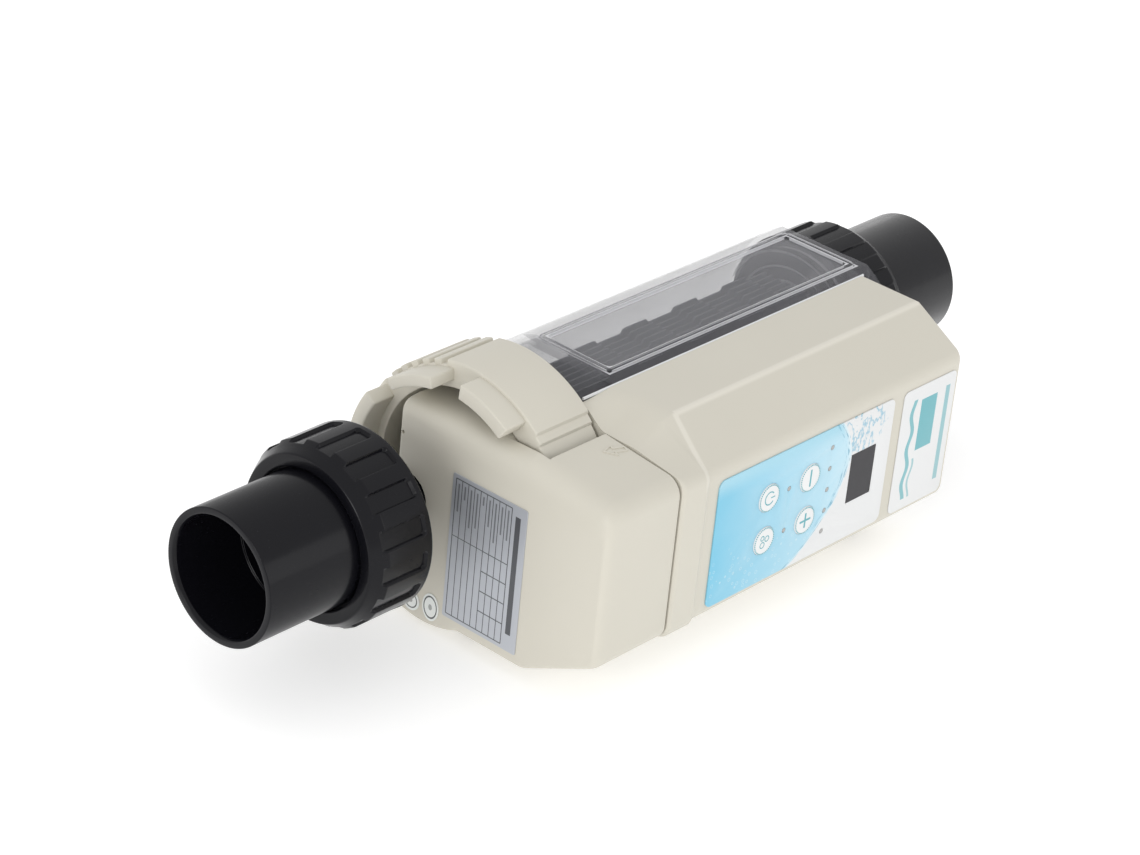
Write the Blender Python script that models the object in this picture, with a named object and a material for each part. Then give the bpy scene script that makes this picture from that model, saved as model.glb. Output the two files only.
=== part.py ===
"""Inline salt chlorine generator for pool pipework, built as an assembly.

Lengths are in millimetres in the numbers below and are turned into metres by MM.
Design axes: X runs along the pipe from the inlet to the outlet, -Y is the side of the
control panel and +Z is up. The assembly empty stands on the pipe's axis, so all the
pieces are drawn around that axis: the pipe at y = 0, z = 0, and the electrode barrel,
which is larger than the pipe, around y = BARREL_Y. The world origin lies under the
middle of the object's box, on the surface that it rests on.
"""

import math

import bmesh
import bpy
from mathutils import Matrix, Vector

MM = 0.001
GAP = 0.3

# Overall places
PIPE_TO_FLOOR = 65.0
PIPE_FROM_MIDDLE = 29.65
BARREL_Y = -13.0

# Pipe, unions and ports
PIPE_END = 224.0
PIPE_RADIUS = 30.15
PIPE_BORE = 26.45
NUT_RADIUS = 41.2
NUT_FACE = 176.0
NUT_SHOULDER = 169.0
NUT_BACK = 143.5
NUT_POCKETS = 16
NUT_POCKET_DEPTH = 1.3
THREAD_RADIUS = 37.4
PORT_FACE = 162.0
PORT_BORE = 21.0
NECK_RADIUS = 14.2
NECK_BORE = 11.8
NECK_CENTRE = (8.0, -7.0)

# Locking ring
RING_FRONT = -98.0
RING_BACK = -66.0
RING_LIP = 12.0
RING_LIP_BORE = 46.4
RING_BORE = 52.5
RING_RADIUS = 56.6
BAND_RADIUS = 59.0
RIB_PITCH = 7.2
FLANGE_RADIUS = 51.5

# Clear cell
CELL_RADIUS = 52.0
CELL_BORE = 48.0
CELL_START = -79.7
CELL_FLAT_START = -41.0
CELL_FAR_WALL = 138.0
CELL_TOP = 45.6
CELL_SHELF_Y = -44.4
WINDOW_RIM = 0.9

# Housing and end cover
COVER_FACE = -109.0
SEAM = -64.5
HOUSING_END = 127.0
TOP = 46.6
SEAM_TOP = 38.8
FRONT = -104.0
BOTTOM = -59.5
WALL = 2.6
COVER_BACK = 15.5
BELLY_Y = -5.0
BELLY_Z = -16.0
BELLY_RADIUS = 48.2

# Control panel, as (x, z) on the front face
OVERLAY = (-40.5, 78.5, -36.5, 25.0)
OVERLAY_THICKNESS = 0.6
BUTTON_RADIUS = 6.7
BUTTON_TRAVEL = 0.8
BUTTONS = {"power": (-5.4, 5.0), "boost": (-5.4, -16.0), "minus": (22.2, 5.0), "plus": (22.2, -16.0)}
LED_PITCH = 10.4
LED_COLUMN = [(36.0, 15.0 - LED_PITCH * i) for i in range(5)]
LED_PLACES = LED_COLUMN + [(8.3, 4.6), (8.3, -16.0)]
LED_RADIUS = 1.1
DISPLAY = (51.2, 68.2, -18.4, 5.8)
BRAND_PLATE = (85.5, 123.5, -37.0, 24.5)
RATING_PLATE = (-60.6, -18.2, -53.4, 16.2)

# Electrodes
PLATES = 7
PLATE_PITCH = 4.0
PLATE_FIRST_Y = -25.0
PLATE_THICKNESS = 1.0
PLATE_START = -57.0
PLATE_END = 112.0
PLATE_TOP = 35.0
PLATE_BOTTOM = -36.0
TAB_STARTS = (-22.0, 12.0, 46.0, 80.0)
TAB_LENGTH = 18.0
TAB_HEIGHT = 2.0


def clear_scene():
    for obj in list(bpy.data.objects):
        bpy.data.objects.remove(obj, do_unlink=True)


def material(name, colour, roughness=0.5, metallic=0.0, alpha=1.0):
    made = bpy.data.materials.new(name)
    made.use_nodes = True
    shader = made.node_tree.nodes["Principled BSDF"]
    shader.inputs["Base Color"].default_value = (*colour, 1.0)
    shader.inputs["Roughness"].default_value = roughness
    shader.inputs["Metallic"].default_value = metallic
    shader.inputs["Alpha"].default_value = alpha
    made.diffuse_color = (*colour, alpha)
    return made


# Outlines ---------------------------------------------------------------------------


def arc(centre_u, centre_v, radius, start, end, count):
    """Points along an arc, angles in degrees, both ends included."""
    step = (end - start) / (count - 1)
    angles = [math.radians(start + step * i) for i in range(count)]
    return [(centre_u + radius * math.cos(a), centre_v + radius * math.sin(a)) for a in angles]


def rounded(corners, steps=3):
    """A closed outline whose corners (u, v, radius) are rounded with tangent arcs."""
    outline = []
    for i, (u, v, radius) in enumerate(corners):
        here = Vector((u, v))
        to_last = Vector(corners[i - 1][:2]) - here
        to_next = Vector(corners[(i + 1) % len(corners)][:2]) - here
        if radius <= 0.05:
            outline.append((u, v))
            continue
        half = to_last.angle(to_next) / 2
        reach = radius / math.tan(half)
        start = here + to_last.normalized() * reach
        end = here + to_next.normalized() * reach
        centre = here + (to_last.normalized() + to_next.normalized()).normalized() * radius / math.sin(half)
        for k in range(steps + 1):
            spoke = (start - centre).slerp(end - centre, k / steps)
            outline.append(tuple(centre + spoke.normalized() * radius))
    return outline


def rectangle(u0, u1, v0, v1, radius=0.0):
    return [(u0, v0, radius), (u1, v0, radius), (u1, v1, radius), (u0, v1, radius)]


# Solids ---------------------------------------------------------------------------


def finish(name, bm, surface, place=(0, 0, 0), smooth_angle=32):
    """Turns a bmesh drawn in design millimetres into an object on the assembly empty."""
    bmesh.ops.remove_doubles(bm, verts=bm.verts, dist=0.0005)
    bmesh.ops.recalc_face_normals(bm, faces=bm.faces)
    mesh = bpy.data.meshes.new(name)
    bmesh.ops.translate(bm, verts=bm.verts, vec=-Vector(place))
    bmesh.ops.scale(bm, verts=bm.verts, vec=(MM, MM, MM))
    bm.to_mesh(mesh)
    bm.free()
    mesh.materials.append(surface)
    mesh.shade_smooth()
    mesh.set_sharp_from_angle(angle=math.radians(smooth_angle))
    made = bpy.data.objects.new(name, mesh)
    bpy.context.scene.collection.objects.link(made)
    made.parent = assembly
    made.location = Vector(place) * MM
    return made


def loft(name, sections, axis, surface, place=(0, 0, 0)):
    """A solid through outlines with equal point counts, given as (position, outline)."""
    bm = bmesh.new()
    rings = []
    for position, outline in sections:
        spots = {
            "X": [(position, u, v) for u, v in outline],
            "Y": [(u, position, v) for u, v in outline],
            "Z": [(u, v, position) for u, v in outline],
        }[axis]
        rings.append([bm.verts.new(spot) for spot in spots])
    bm.faces.new(list(reversed(rings[0])))
    bm.faces.new(rings[-1])
    for low, high in zip(rings, rings[1:]):
        for i in range(len(low)):
            j = (i + 1) % len(low)
            bm.faces.new([low[i], low[j], high[j], high[i]])
    if len(sections) > 2:
        bmesh.ops.triangulate(bm, faces=[face for face in bm.faces if len(face.verts) == 4])
    return finish(name, bm, surface, place)


def prism(name, outline, start, end, axis, surface, place=(0, 0, 0)):
    return loft(name, [(start, outline), (end, outline)], axis, surface, place)


def turned(name, profile, surface, centre=(0.0, 0.0), count=40, radius_at=None, place=(0, 0, 0)):
    """A solid of revolution about an axis along X through y, z = centre.

    profile is a closed loop of (x, radius). radius_at(x, radius, turn) may change the
    radius around the turn, which goes from 0 to 1 starting at +Y towards +Z.
    """
    bm = bmesh.new()
    rings = []
    for i in range(count):
        turn = i / count
        angle = 2 * math.pi * turn
        ring = []
        for x, radius in profile:
            r = radius_at(x, radius, turn) if radius_at else radius
            ring.append(bm.verts.new((x, centre[0] + r * math.cos(angle), centre[1] + r * math.sin(angle))))
        rings.append(ring)
    for i in range(count):
        here, there = rings[i], rings[(i + 1) % count]
        for k in range(len(profile)):
            j = (k + 1) % len(profile)
            if here[k].co == here[j].co:
                continue
            bm.faces.new([here[k], here[j], there[j], there[k]])
    return finish(name, bm, surface, place)


def rod(name, start, end, radius, surface, count=12, place=None):
    """A solid round bar between two points, with flat ends."""
    start, end = Vector(start), Vector(end)
    bm = bmesh.new()
    along = end - start
    turn = along.to_track_quat("Z", "Y").to_matrix().to_4x4()
    bmesh.ops.create_cone(
        bm,
        cap_ends=True,
        segments=count,
        radius1=radius,
        radius2=radius,
        depth=along.length,
        matrix=Matrix.Translation((start + end) / 2) @ turn,
    )
    return finish(name, bm, surface, place if place else tuple(start))


def modify(target, other, operation):
    """Keeps the other solid as a hidden helper of a Boolean on the target."""
    other.hide_render = True
    other.display_type = "WIRE"
    boolean = target.modifiers.new(f"{operation.title()} {other.name}", "BOOLEAN")
    boolean.operation = operation
    boolean.solver = "EXACT"
    boolean.object = other


def cut(target, *others):
    for other in others:
        modify(target, other, "DIFFERENCE")


def fuse(target, *others):
    for other in others:
        modify(target, other, "UNION")


# Hydraulic line --------------------------------------------------------------------


def make_tail_pipe(name, side):
    """A plain stub for gluing, with a flange that the union nut holds."""
    profile = [
        (PIPE_END, PIPE_BORE + 1.2),
        (PIPE_END, PIPE_RADIUS - 0.4),
        (PIPE_END - 0.6, PIPE_RADIUS),
        (NUT_FACE - 3.2, PIPE_RADIUS),
        (NUT_FACE - 3.2, 35.6),
        (PORT_FACE + GAP, 35.6),
        (PORT_FACE + GAP, 25.0),
        (PIPE_END - 36.0, 25.0),
        (PIPE_END - 36.5, PIPE_BORE),
        (PIPE_END - 1.6, PIPE_BORE),
    ]
    return turned(name, [(side * x, r) for x, r in profile], black_pvc, count=44)


def make_union_nut(name, side):
    """A ribbed nut: shallow grip pockets, open at the shoulder and closed at the back."""
    low = NUT_RADIUS - NUT_POCKET_DEPTH
    profile = [
        (NUT_FACE, 33.0),
        (NUT_FACE, 36.6),
        (NUT_SHOULDER, low),
        (NUT_SHOULDER - 0.1, NUT_RADIUS),
        (NUT_BACK + 4.0, NUT_RADIUS),
        (NUT_BACK + 3.4, NUT_RADIUS + 0.001),
        (NUT_BACK + 0.8, NUT_RADIUS),
        (NUT_BACK, NUT_RADIUS - 0.8),
        (NUT_BACK, THREAD_RADIUS + GAP),
        (NUT_FACE - 3.5, THREAD_RADIUS + GAP),
        (NUT_FACE - 3.5 + 0.6, 35.4),
        (NUT_FACE - 2.9, PIPE_RADIUS + 1.0),
        (NUT_FACE - 1.2, PIPE_RADIUS + 1.0),
    ]

    def pocket(x, radius, turn):
        inside = int(turn * 4 * NUT_POCKETS + 0.5) % 4 in (1, 2)
        on_grip = NUT_BACK + 3.9 < abs(x) < NUT_SHOULDER and radius == NUT_RADIUS
        return low if inside and on_grip else radius

    nut = turned(
        name, [(side * x, r) for x, r in profile], black_pvc, count=4 * NUT_POCKETS, radius_at=pocket
    )
    return nut


def make_o_ring(name, x0, x1, inner, outer, centre=(0.0, 0.0), count=32):
    middle, half = (x0 + x1) / 2, (x1 - x0) / 2
    profile = [(middle + half * u, (inner + outer) / 2 + (outer - inner) / 2 * v) for u, v in arc(0, 0, 1, 0, 315, 8)]
    return turned(name, profile, seal_rubber, centre, count)


# Clear cell ---------------------------------------------------------------------


def disc(radius, centre=(0.0, 0.0), count=40):
    """A full circle of points, for plugs, rims and holes."""
    return arc(centre[0], centre[1], radius, 0, 360 - 360 / count, count)


def make_clear_cell():
    """A round barrel with a flat window on top, a shelf beside it and the outlet port."""
    barrel = (BARREL_Y, 0.0)
    cell = prism("clear_cell_body", disc(CELL_RADIUS, barrel, 56), CELL_START, CELL_FAR_WALL, "X", clear_plastic)
    arch = [(CELL_FLAT_START + 3.5 * ((y - BARREL_Y) / 30.0) ** 2, y) for y in range(-73, 48, 10)]
    above = arch + [(CELL_FAR_WALL + 8.0, 47.0), (CELL_FAR_WALL + 8.0, -73.0)]
    flat = prism("cell_flat", above, CELL_TOP, CELL_TOP + 20.0, "Z", clear_plastic)
    shelf_outline = [
        (CELL_FLAT_START - 1.0, CELL_SHELF_Y),
        (CELL_FAR_WALL - 6.0, CELL_SHELF_Y),
        (CELL_FAR_WALL - 0.5, CELL_SHELF_Y + 6.5),
        (CELL_FAR_WALL - 0.5, -25.0),
        (CELL_FLAT_START - 1.0, -25.0),
    ]
    shelf = prism("cell_shelf", shelf_outline, 30.0, CELL_TOP - 0.1, "Z", clear_plastic)
    port = turned(
        "cell_port",
        [
            (CELL_FAR_WALL - 2.0, PORT_BORE - 2.0),
            (CELL_FAR_WALL - 2.0, THREAD_RADIUS - 0.6),
            (PORT_FACE, THREAD_RADIUS - 0.6),
            (PORT_FACE, PORT_BORE - 2.0),
        ],
        clear_plastic,
        count=40,
    )
    rim = prism(
        "cell_window_rim",
        rounded(rectangle(-36.0, 133.0, -36.0, 6.5, 4.0), 3),
        CELL_TOP - 1.0,
        CELL_TOP + WINDOW_RIM,
        "Z",
        clear_plastic,
    )
    pane = prism(
        "cell_window_recess",
        rounded(rectangle(-33.0, 129.5, -33.0, 3.5, 3.0), 3),
        CELL_TOP - 0.4,
        CELL_TOP + WINDOW_RIM + 1.0,
        "Z",
        clear_plastic,
    )
    roof = CELL_TOP - 3.4
    chord = math.degrees(math.asin(roof / CELL_BORE))
    chamber = prism(
        "cell_chamber",
        arc(BARREL_Y, 0.0, CELL_BORE, 180 - chord, 360 + chord, 44),
        CELL_START - 1.0,
        CELL_FAR_WALL - 4.0,
        "X",
        clear_plastic,
    )
    throat = turned_plug("cell_throat", CELL_START - 1.0, CELL_FLAT_START + 2.5, CELL_BORE - 0.05, barrel, 56)
    outlet = turned_plug("cell_outlet", CELL_FAR_WALL - 6.0, PORT_FACE + 1.0, PORT_BORE, (0.0, 0.0), 40)
    cut(cell, flat)
    fuse(cell, shelf, port, rim)
    cut(cell, pane, chamber, throat, outlet)
    return cell


def turned_plug(name, x0, x1, radius, centre, count=40):
    """A plain round cutter along X."""
    plug = prism(name, arc(centre[0], centre[1], radius, 0, 360 - 360 / count, count), x0, x1, "X", beige_plastic)
    plug.hide_render = True
    plug.display_type = "WIRE"
    return plug


# Electrode assembly -----------------------------------------------------------------


def make_electrode_cap():
    """The black plug that closes the cell: barrel flange, inlet neck and union thread."""
    cap = turned(
        "electrode_cap",
        [
            (-85.7, 10.0),
            (-85.7, FLANGE_RADIUS),
            (-80.0, FLANGE_RADIUS),
            (-80.0, 47.5),
            (-76.5, 47.5),
            (-76.5, 44.8),
            (-72.5, 44.8),
            (-72.5, 47.5),
            (-68.0, 47.5),
            (-68.0, 10.0),
        ],
        black_pvc,
        (BARREL_Y, 0.0),
        count=44,
    )
    core = turned_plug("cap_core", -85.7, -68.0, 11.0, (BARREL_Y, 0.0), 20)
    thread = THREAD_RADIUS - 0.6
    neck = loft(
        "cap_inlet_neck",
        [
            (-PORT_FACE, disc(thread)),
            (-140.5, disc(thread)),
            (-136.0, disc(thread - 5.0)),
            (-120.0, disc(NECK_RADIUS, NECK_CENTRE)),
            (-84.0, disc(NECK_RADIUS, NECK_CENTRE)),
        ],
        "X",
        black_pvc,
    )
    bore = loft(
        "cap_bore",
        [
            (-PORT_FACE - 1.0, disc(PORT_BORE)),
            (-PORT_FACE + 4.0, disc(PORT_BORE)),
            (-122.0, disc(NECK_BORE, NECK_CENTRE)),
            (-60.0, disc(NECK_BORE, NECK_CENTRE)),
        ],
        "X",
        black_pvc,
    )
    fuse(cap, core, neck)
    cut(cap, bore)
    return cap


def plate_y(i):
    return PLATE_FIRST_Y + PLATE_PITCH * i


def make_electrode_plate(i):
    """One blade; its upper edge carries raised tabs between the notches."""
    outline = [(PLATE_START, PLATE_BOTTOM), (PLATE_END, PLATE_BOTTOM), (PLATE_END, PLATE_TOP)]
    for start in reversed(TAB_STARTS):
        outline += [
            (start + TAB_LENGTH, PLATE_TOP),
            (start + TAB_LENGTH - 1.5, PLATE_TOP + TAB_HEIGHT),
            (start + 1.5, PLATE_TOP + TAB_HEIGHT),
            (start, PLATE_TOP),
        ]
    outline.append((PLATE_START, PLATE_TOP))
    y = plate_y(i)
    kind = "anode" if i % 2 == 0 else "cathode"
    surface = coated_titanium if kind == "anode" else titanium
    return prism(
        f"{kind}_plate_{i // 2 + 1}", outline, y - PLATE_THICKNESS / 2, y + PLATE_THICKNESS / 2, "Y", surface
    )


def make_slotted_block(name, x0, x1, low, high, stop):
    """A black carrier whose slots, up to x = stop, hold the blades apart."""
    side = 3.0
    block = prism(
        name,
        rounded(rectangle(plate_y(0) - side, plate_y(PLATES - 1) + side, low, high, 1.0), 1),
        x0,
        x1,
        "X",
        black_pvc,
    )
    half = PLATE_THICKNESS / 2 + 0.25
    for i in range(PLATES):
        y = plate_y(i)
        if stop is None:
            slot = rectangle_points(x0 - 1, x1 + 1, PLATE_BOTTOM - GAP, high + 1)
        else:
            slot = rectangle_points(stop, x1 + 1, low - 1, high + 1)
        cut(block, prism(f"{name}_slot_{i + 1}", slot, y - half, y + half, "Y", black_pvc))
    return block


def make_electrodes():
    for i in range(PLATES):
        make_electrode_plate(i)
    head_stop = PLATE_START - GAP
    make_slotted_block("electrode_head_block", -68.0 + GAP, PLATE_START + 7.0, 23.5, 33.5, head_stop)
    make_slotted_block("electrode_foot_block", -68.0 + GAP, PLATE_START + 7.0, -33.5, -23.5, head_stop)
    make_slotted_block("electrode_spacer_comb", 92.0, 98.0, PLATE_BOTTOM - 3.0, PLATE_BOTTOM + 4.0, None)
    for name, y in (("anode_terminal", -30.0), ("cathode_terminal", -20.0)):
        rod(name, (-100.0, y, 26.0), (-86.0, y, 26.0), 2.4, brass, 12)
    rod("flow_sensor_pin", (-68.0 + GAP, -44.0, -14.0), (-46.0, -44.0, -14.0), 1.8, titanium, 10)


def rectangle_points(u0, u1, v0, v1):
    return [(u0, v0), (u1, v0), (u1, v1), (u0, v1)]


# Locking ring -----------------------------------------------------------------------


def ring_sector(name, start, end, r0, r1, x0, x1, count=8):
    """A block between two angles (degrees from +Y towards +Z) around the barrel's axis."""
    outer = arc(BARREL_Y, 0.0, r1, start, end, count)
    inner = arc(BARREL_Y, 0.0, r0, end, start, count)
    return prism(name, outer + inner, x0, x1, "X", beige_plastic)


def make_locking_ring():
    ring = turned(
        "locking_ring",
        [
            (RING_FRONT, RING_LIP_BORE),
            (RING_FRONT, RING_RADIUS),
            (RING_BACK, RING_RADIUS),
            (RING_BACK, RING_BORE),
            (RING_FRONT + RING_LIP, RING_BORE),
            (RING_FRONT + RING_LIP, RING_LIP_BORE),
        ],
        beige_plastic,
        (BARREL_Y, 0.0),
        count=60,
        place=(0.0, BARREL_Y, 0.0),
    )
    deep = RING_RADIUS - 1.5
    nose = RING_FRONT + 1.0
    blocks = [
        ring_sector("ring_band", 76, 131, deep, BAND_RADIUS, RING_FRONT, RING_BACK, 13),
        ring_sector("ring_ledge", 130, 135.4, deep, 57.8, RING_FRONT, RING_BACK, 3),
        ring_sector("ring_upper_lug", 52, 80, 50.5, 56.0, RING_FRONT - 14.0, nose, 7),
        ring_sector("ring_front_lug", 95, 124, 50.5, 57.6, RING_FRONT - 12.0, nose, 8),
        ring_sector("ring_back_lug", -6, 34, 50.5, 57.2, RING_FRONT - 12.0, nose, 9),
    ]
    for i in range(5):
        start = 68.5 - RIB_PITCH * i
        blocks.append(ring_sector(f"ring_rib_{i + 1}", start, start + 4.2, deep, 58.8, RING_FRONT, RING_BACK, 3))
    for i in range(4):
        start = 28.0 - 12.0 * i
        blocks.append(ring_sector(f"ring_tooth_{i + 1}", start, start + 7.0, deep, 59.0, RING_FRONT, RING_BACK, 3))
    fuse(ring, *blocks)
    return ring


# End cover and control housing --------------------------------------------------------


def belly(radius, start, end, count):
    return [(u, v, 0.0) for u, v in arc(BELLY_Y, BELLY_Z, radius, start, end, count)]


def cover_corners(drop=0.0, inset=0.0):
    """The end cover's section. drop lowers the top for the rounded near edge."""
    radius = BELLY_RADIUS - inset
    back = COVER_BACK - inset
    end_angle = -math.degrees(math.acos((back - BELLY_Y) / radius))
    start_angle = -math.degrees(math.pi - math.asin((BELLY_Z - BOTTOM - inset) / radius))
    return [
        (back, 37.0 - inset - 0.35 * drop, 3.0),
        (-56.0, SEAM_TOP - inset - drop, 12.0),
        (FRONT + inset, 34.0 - inset - drop, 8.5 - inset),
        (FRONT + inset, -40.0 + inset * 0.4, 7.0 - inset * 0.5),
        (-64.0 + inset * 0.3, BOTTOM + inset, 8.0),
    ] + belly(radius, start_angle, end_angle, 9)


def make_end_cover():
    """A shell over the electrode's inlet end, open towards the housing."""
    sections = [
        (COVER_FACE, cover_corners(11.0, 3.2)),
        (COVER_FACE + 1.2, cover_corners(6.8, 1.5)),
        (COVER_FACE + 3.6, cover_corners(3.2, 0.4)),
        (COVER_FACE + 8.5, cover_corners(0.6, 0.0)),
        (COVER_FACE + 13.0, cover_corners(0.0, 0.0)),
        (SEAM - GAP, cover_corners(0.0, 0.0)),
    ]
    cover = loft("end_cover", [(x, rounded(c, 4)) for x, c in sections], "X", beige_plastic)
    hollow_sections = [
        (COVER_FACE + WALL, cover_corners(8.0, 4.2)),
        (COVER_FACE + WALL + 8.0, cover_corners(0.6, WALL)),
        (SEAM + 1.0, cover_corners(0.0, WALL)),
    ]
    hollow = loft("cover_hollow", [(x, rounded(c, 4)) for x, c in hollow_sections], "X", beige_plastic)
    low, high = (NECK_CENTRE[1] + side * (NECK_RADIUS + 0.8) for side in (-1, 1))
    notch = prism(
        "cover_neck_notch",
        [(40.0, high), *arc(*NECK_CENTRE, NECK_RADIUS + 0.8, 90, 270, 15), (40.0, low)],
        COVER_FACE - 1,
        SEAM + 1,
        "X",
        beige_plastic,
    )
    ring_room = turned(
        "cover_ring_room",
        [(-100.0, 46.1), (-100.0, 61.8), (SEAM + 1.0, 61.8), (SEAM + 1.0, 46.1)],
        beige_plastic,
        (BARREL_Y, 0.0),
        count=60,
    )
    cap_room = turned_plug("cover_cap_room", -86.5, SEAM + 1.0, 52.0, (BARREL_Y, 0.0), 60)
    cut(cover, hollow, notch, ring_room, cap_room)
    return cover


def housing_corners(inset=0.0, top=TOP, shoulder_z=TOP, front_top=30.5, front=FRONT, bottom=BOTTOM):
    """The outer section of the control housing, before the cradle for the cell is cut."""
    radius = BELLY_RADIUS - inset - (bottom - BOTTOM)
    start_angle = -math.degrees(math.pi - math.asin((BELLY_Z - bottom - inset) / radius))
    return [
        (BELLY_Y + radius, top - inset, 0.0),
        (-77.0, shoulder_z - inset, 5.0),
        (front + inset, front_top, 6.0),
        (front + inset, -40.0 + inset * 0.4 + bottom - BOTTOM, 7.0 - inset * 0.5),
        (-64.0 + inset * 0.3, bottom + inset, 8.0),
    ] + belly(radius, start_angle, 0.0, 13)


def make_control_housing():
    """The main shell: a box for the electronics in front and a cradle for the cell."""
    proud = dict(front_top=33.0, front=FRONT - 1.3, bottom=BOTTOM - 0.9)
    sections = [
        (SEAM, housing_corners(top=38.6, shoulder_z=37.2, front_top=33.0, front=FRONT + 0.2)),
        (SEAM + 1.8, housing_corners(**{**proud, "top": 39.4, "shoulder_z": 37.6, "front": FRONT - 0.9})),
        (SEAM + 4.0, housing_corners(**{**proud, "top": 40.2, "shoulder_z": 38.4})),
        (-51.0, housing_corners(**{**proud, "top": 44.6, "shoulder_z": 42.2})),
        (-47.0, housing_corners(top=45.8, shoulder_z=44.4, front_top=31.5, front=FRONT - 0.9)),
        (-41.0, housing_corners()),
        (HOUSING_END - 3.0, housing_corners()),
        (HOUSING_END - 1.0, housing_corners(0.8)),
        (HOUSING_END, housing_corners(2.4)),
    ]
    housing = loft("control_housing", [(x, rounded(c, 3)) for x, c in sections], "X", beige_plastic)
    cradle = turned_plug("housing_cradle", SEAM - 1, HOUSING_END + 1, CELL_RADIUS + 0.6, (BARREL_Y, 0.0), 56)
    opening = prism(
        "housing_top_opening",
        [(60.0, 60.0), (CELL_SHELF_Y - 0.8, 60.0), (CELL_SHELF_Y - 0.8, 29.0), (-20.0, 29.0), (-20.0, -5.0), (60.0, -5.0)],
        SEAM - 1,
        HOUSING_END + 1,
        "X",
        beige_plastic,
    )
    well = arc(BARREL_Y, 0.0, CELL_RADIUS + 0.6 + WALL, 231, 138, 10)
    bay = prism(
        "housing_electronics_bay",
        [(-76.0, TOP - WALL), (FRONT + WALL, 29.0), (FRONT + WALL, -38.8), (-63.2, BOTTOM + WALL), (-50.0, BOTTOM + WALL)]
        + well
        + [(-56.0, TOP - WALL)],
        -39.0,
        HOUSING_END - 2.8,
        "X",
        beige_plastic,
    )
    near_bay = prism(
        "housing_wire_bay",
        [(-90.0, 33.0), (FRONT + WALL, 28.0), (FRONT + WALL, -38.0), (-73.0, -50.5), (-69.6, 0.0), (-72.5, 32.5)],
        SEAM + 2.6,
        -37.5,
        "X",
        beige_plastic,
    )
    wire_port = prism("housing_wire_port", rectangle_points(-95.0, -78.0, -30.0, 22.0), SEAM - 1, SEAM + 4, "X", beige_plastic)
    cut(housing, cradle, opening, bay, near_bay, wire_port)
    cut(housing, *panel_openings())
    return housing


def panel_openings():
    """Openings in the front face for the buttons, the display and the light guides."""
    near, far = FRONT - 3.0, FRONT + WALL + 2.0
    cutters = [
        round_cutter(f"{name}_opening", x, z, BUTTON_RADIUS + 0.4, near, far, 20) for name, (x, z) in BUTTONS.items()
    ]
    cutters += [
        round_cutter(f"led_opening_{i + 1}", x, z, LED_RADIUS + 0.3, near, far, 8)
        for i, (x, z) in enumerate(LED_PLACES)
    ]
    x0, x1, z0, z1 = DISPLAY
    cutters.append(
        prism("display_opening", rectangle_points(x0 + 1.0, x1 - 1.0, z0 + 1.0, z1 - 1.0), near, far, "Y", beige_plastic)
    )
    x, y, radius = DC_SOCKET
    cutters.append(prism("dc_socket_opening", arc(x, y, radius + 0.3, 0, 342, 20), BOTTOM - 5, BOTTOM + 16, "Z", beige_plastic))
    return cutters


DC_SOCKET = (100.0, -72.0, 6.0)


def round_cutter(name, x, z, radius, near, far, count):
    return prism(name, arc(x, z, radius, 0, 360 - 360 / count, count), near, far, "Y", beige_plastic)


# Control panel ---------------------------------------------------------------------


def make_overlay():
    x0, x1, z0, z1 = OVERLAY
    front, back = FRONT - OVERLAY_THICKNESS, FRONT - 0.05
    overlay = prism("control_overlay", rounded(rectangle(x0, x1, z0, z1, 3.5), 4), front, back, "Y", overlay_film)
    for name, (x, z) in BUTTONS.items():
        cut(overlay, round_cutter(f"{name}_film_hole", x, z, BUTTON_RADIUS + 0.4, front - 1, back + 1, 20))
    for i, (x, z) in enumerate(LED_PLACES):
        cut(overlay, round_cutter(f"led_film_hole_{i + 1}", x, z, LED_RADIUS + 0.3, front - 1, back + 1, 8))
    dx0, dx1, dz0, dz1 = DISPLAY
    window = rectangle_points(dx0 - GAP, dx1 + GAP, dz0 - GAP, dz1 + GAP)
    cut(overlay, prism("display_film_hole", window, front - 1, back + 1, "Y", overlay_film))
    return overlay


def make_button(name, x, z):
    """A cap flush with the overlay, on a stem that ends above its switch."""
    face = FRONT - OVERLAY_THICKNESS - 0.5
    cap = prism(
        f"{name}_button",
        arc(x, z, BUTTON_RADIUS, 0, 345, 24),
        face,
        FRONT + 1.6,
        "Y",
        button_white,
        (x, face, z),
    )
    stem = prism(f"{name}_button_stem", arc(x, z, 2.2, 0, 330, 12), FRONT + 1.0, FRONT + 5.2, "Y", button_white)
    fuse(cap, stem)
    return cap


BOARD_Y = FRONT + 10.0


def make_switch(name, x, z):
    """A tact switch on the circuit board behind its button."""
    front = FRONT + 5.2 + BUTTON_TRAVEL + 0.3
    return prism(f"{name}_switch", rectangle_points(x - 3, x + 3, z - 3, z + 3), front, BOARD_Y - GAP, "Y", black_component)


def make_panel():
    make_overlay()
    for name, (x, z) in BUTTONS.items():
        make_button(name, x, z)
        make_switch(name, x, z)
    for i, (x, z) in enumerate(LED_PLACES):
        prism(
            f"led_guide_{i + 1}",
            arc(x, z, LED_RADIUS, 0, 315, 8),
            FRONT - OVERLAY_THICKNESS,
            FRONT + 6.0,
            "Y",
            light_guide,
        )
    x0, x1, z0, z1 = DISPLAY
    prism("display_window", rounded(rectangle(x0, x1, z0, z1, 0.8), 2), FRONT - OVERLAY_THICKNESS, FRONT - 0.05, "Y", smoked_acrylic)
    prism(
        "display_module",
        rectangle_points(x0 + 1.6, x1 - 1.6, z0 + 1.6, z1 - 1.6),
        FRONT + 0.4,
        BOARD_Y - GAP,
        "Y",
        black_pvc,
    )
    bx0, bx1, bz0, bz1 = BRAND_PLATE
    prism("name_plate_blank", rounded(rectangle(bx0, bx1, bz0, bz1, 2.5), 3), FRONT - 0.45, FRONT - 0.05, "Y", label_white)


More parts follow.
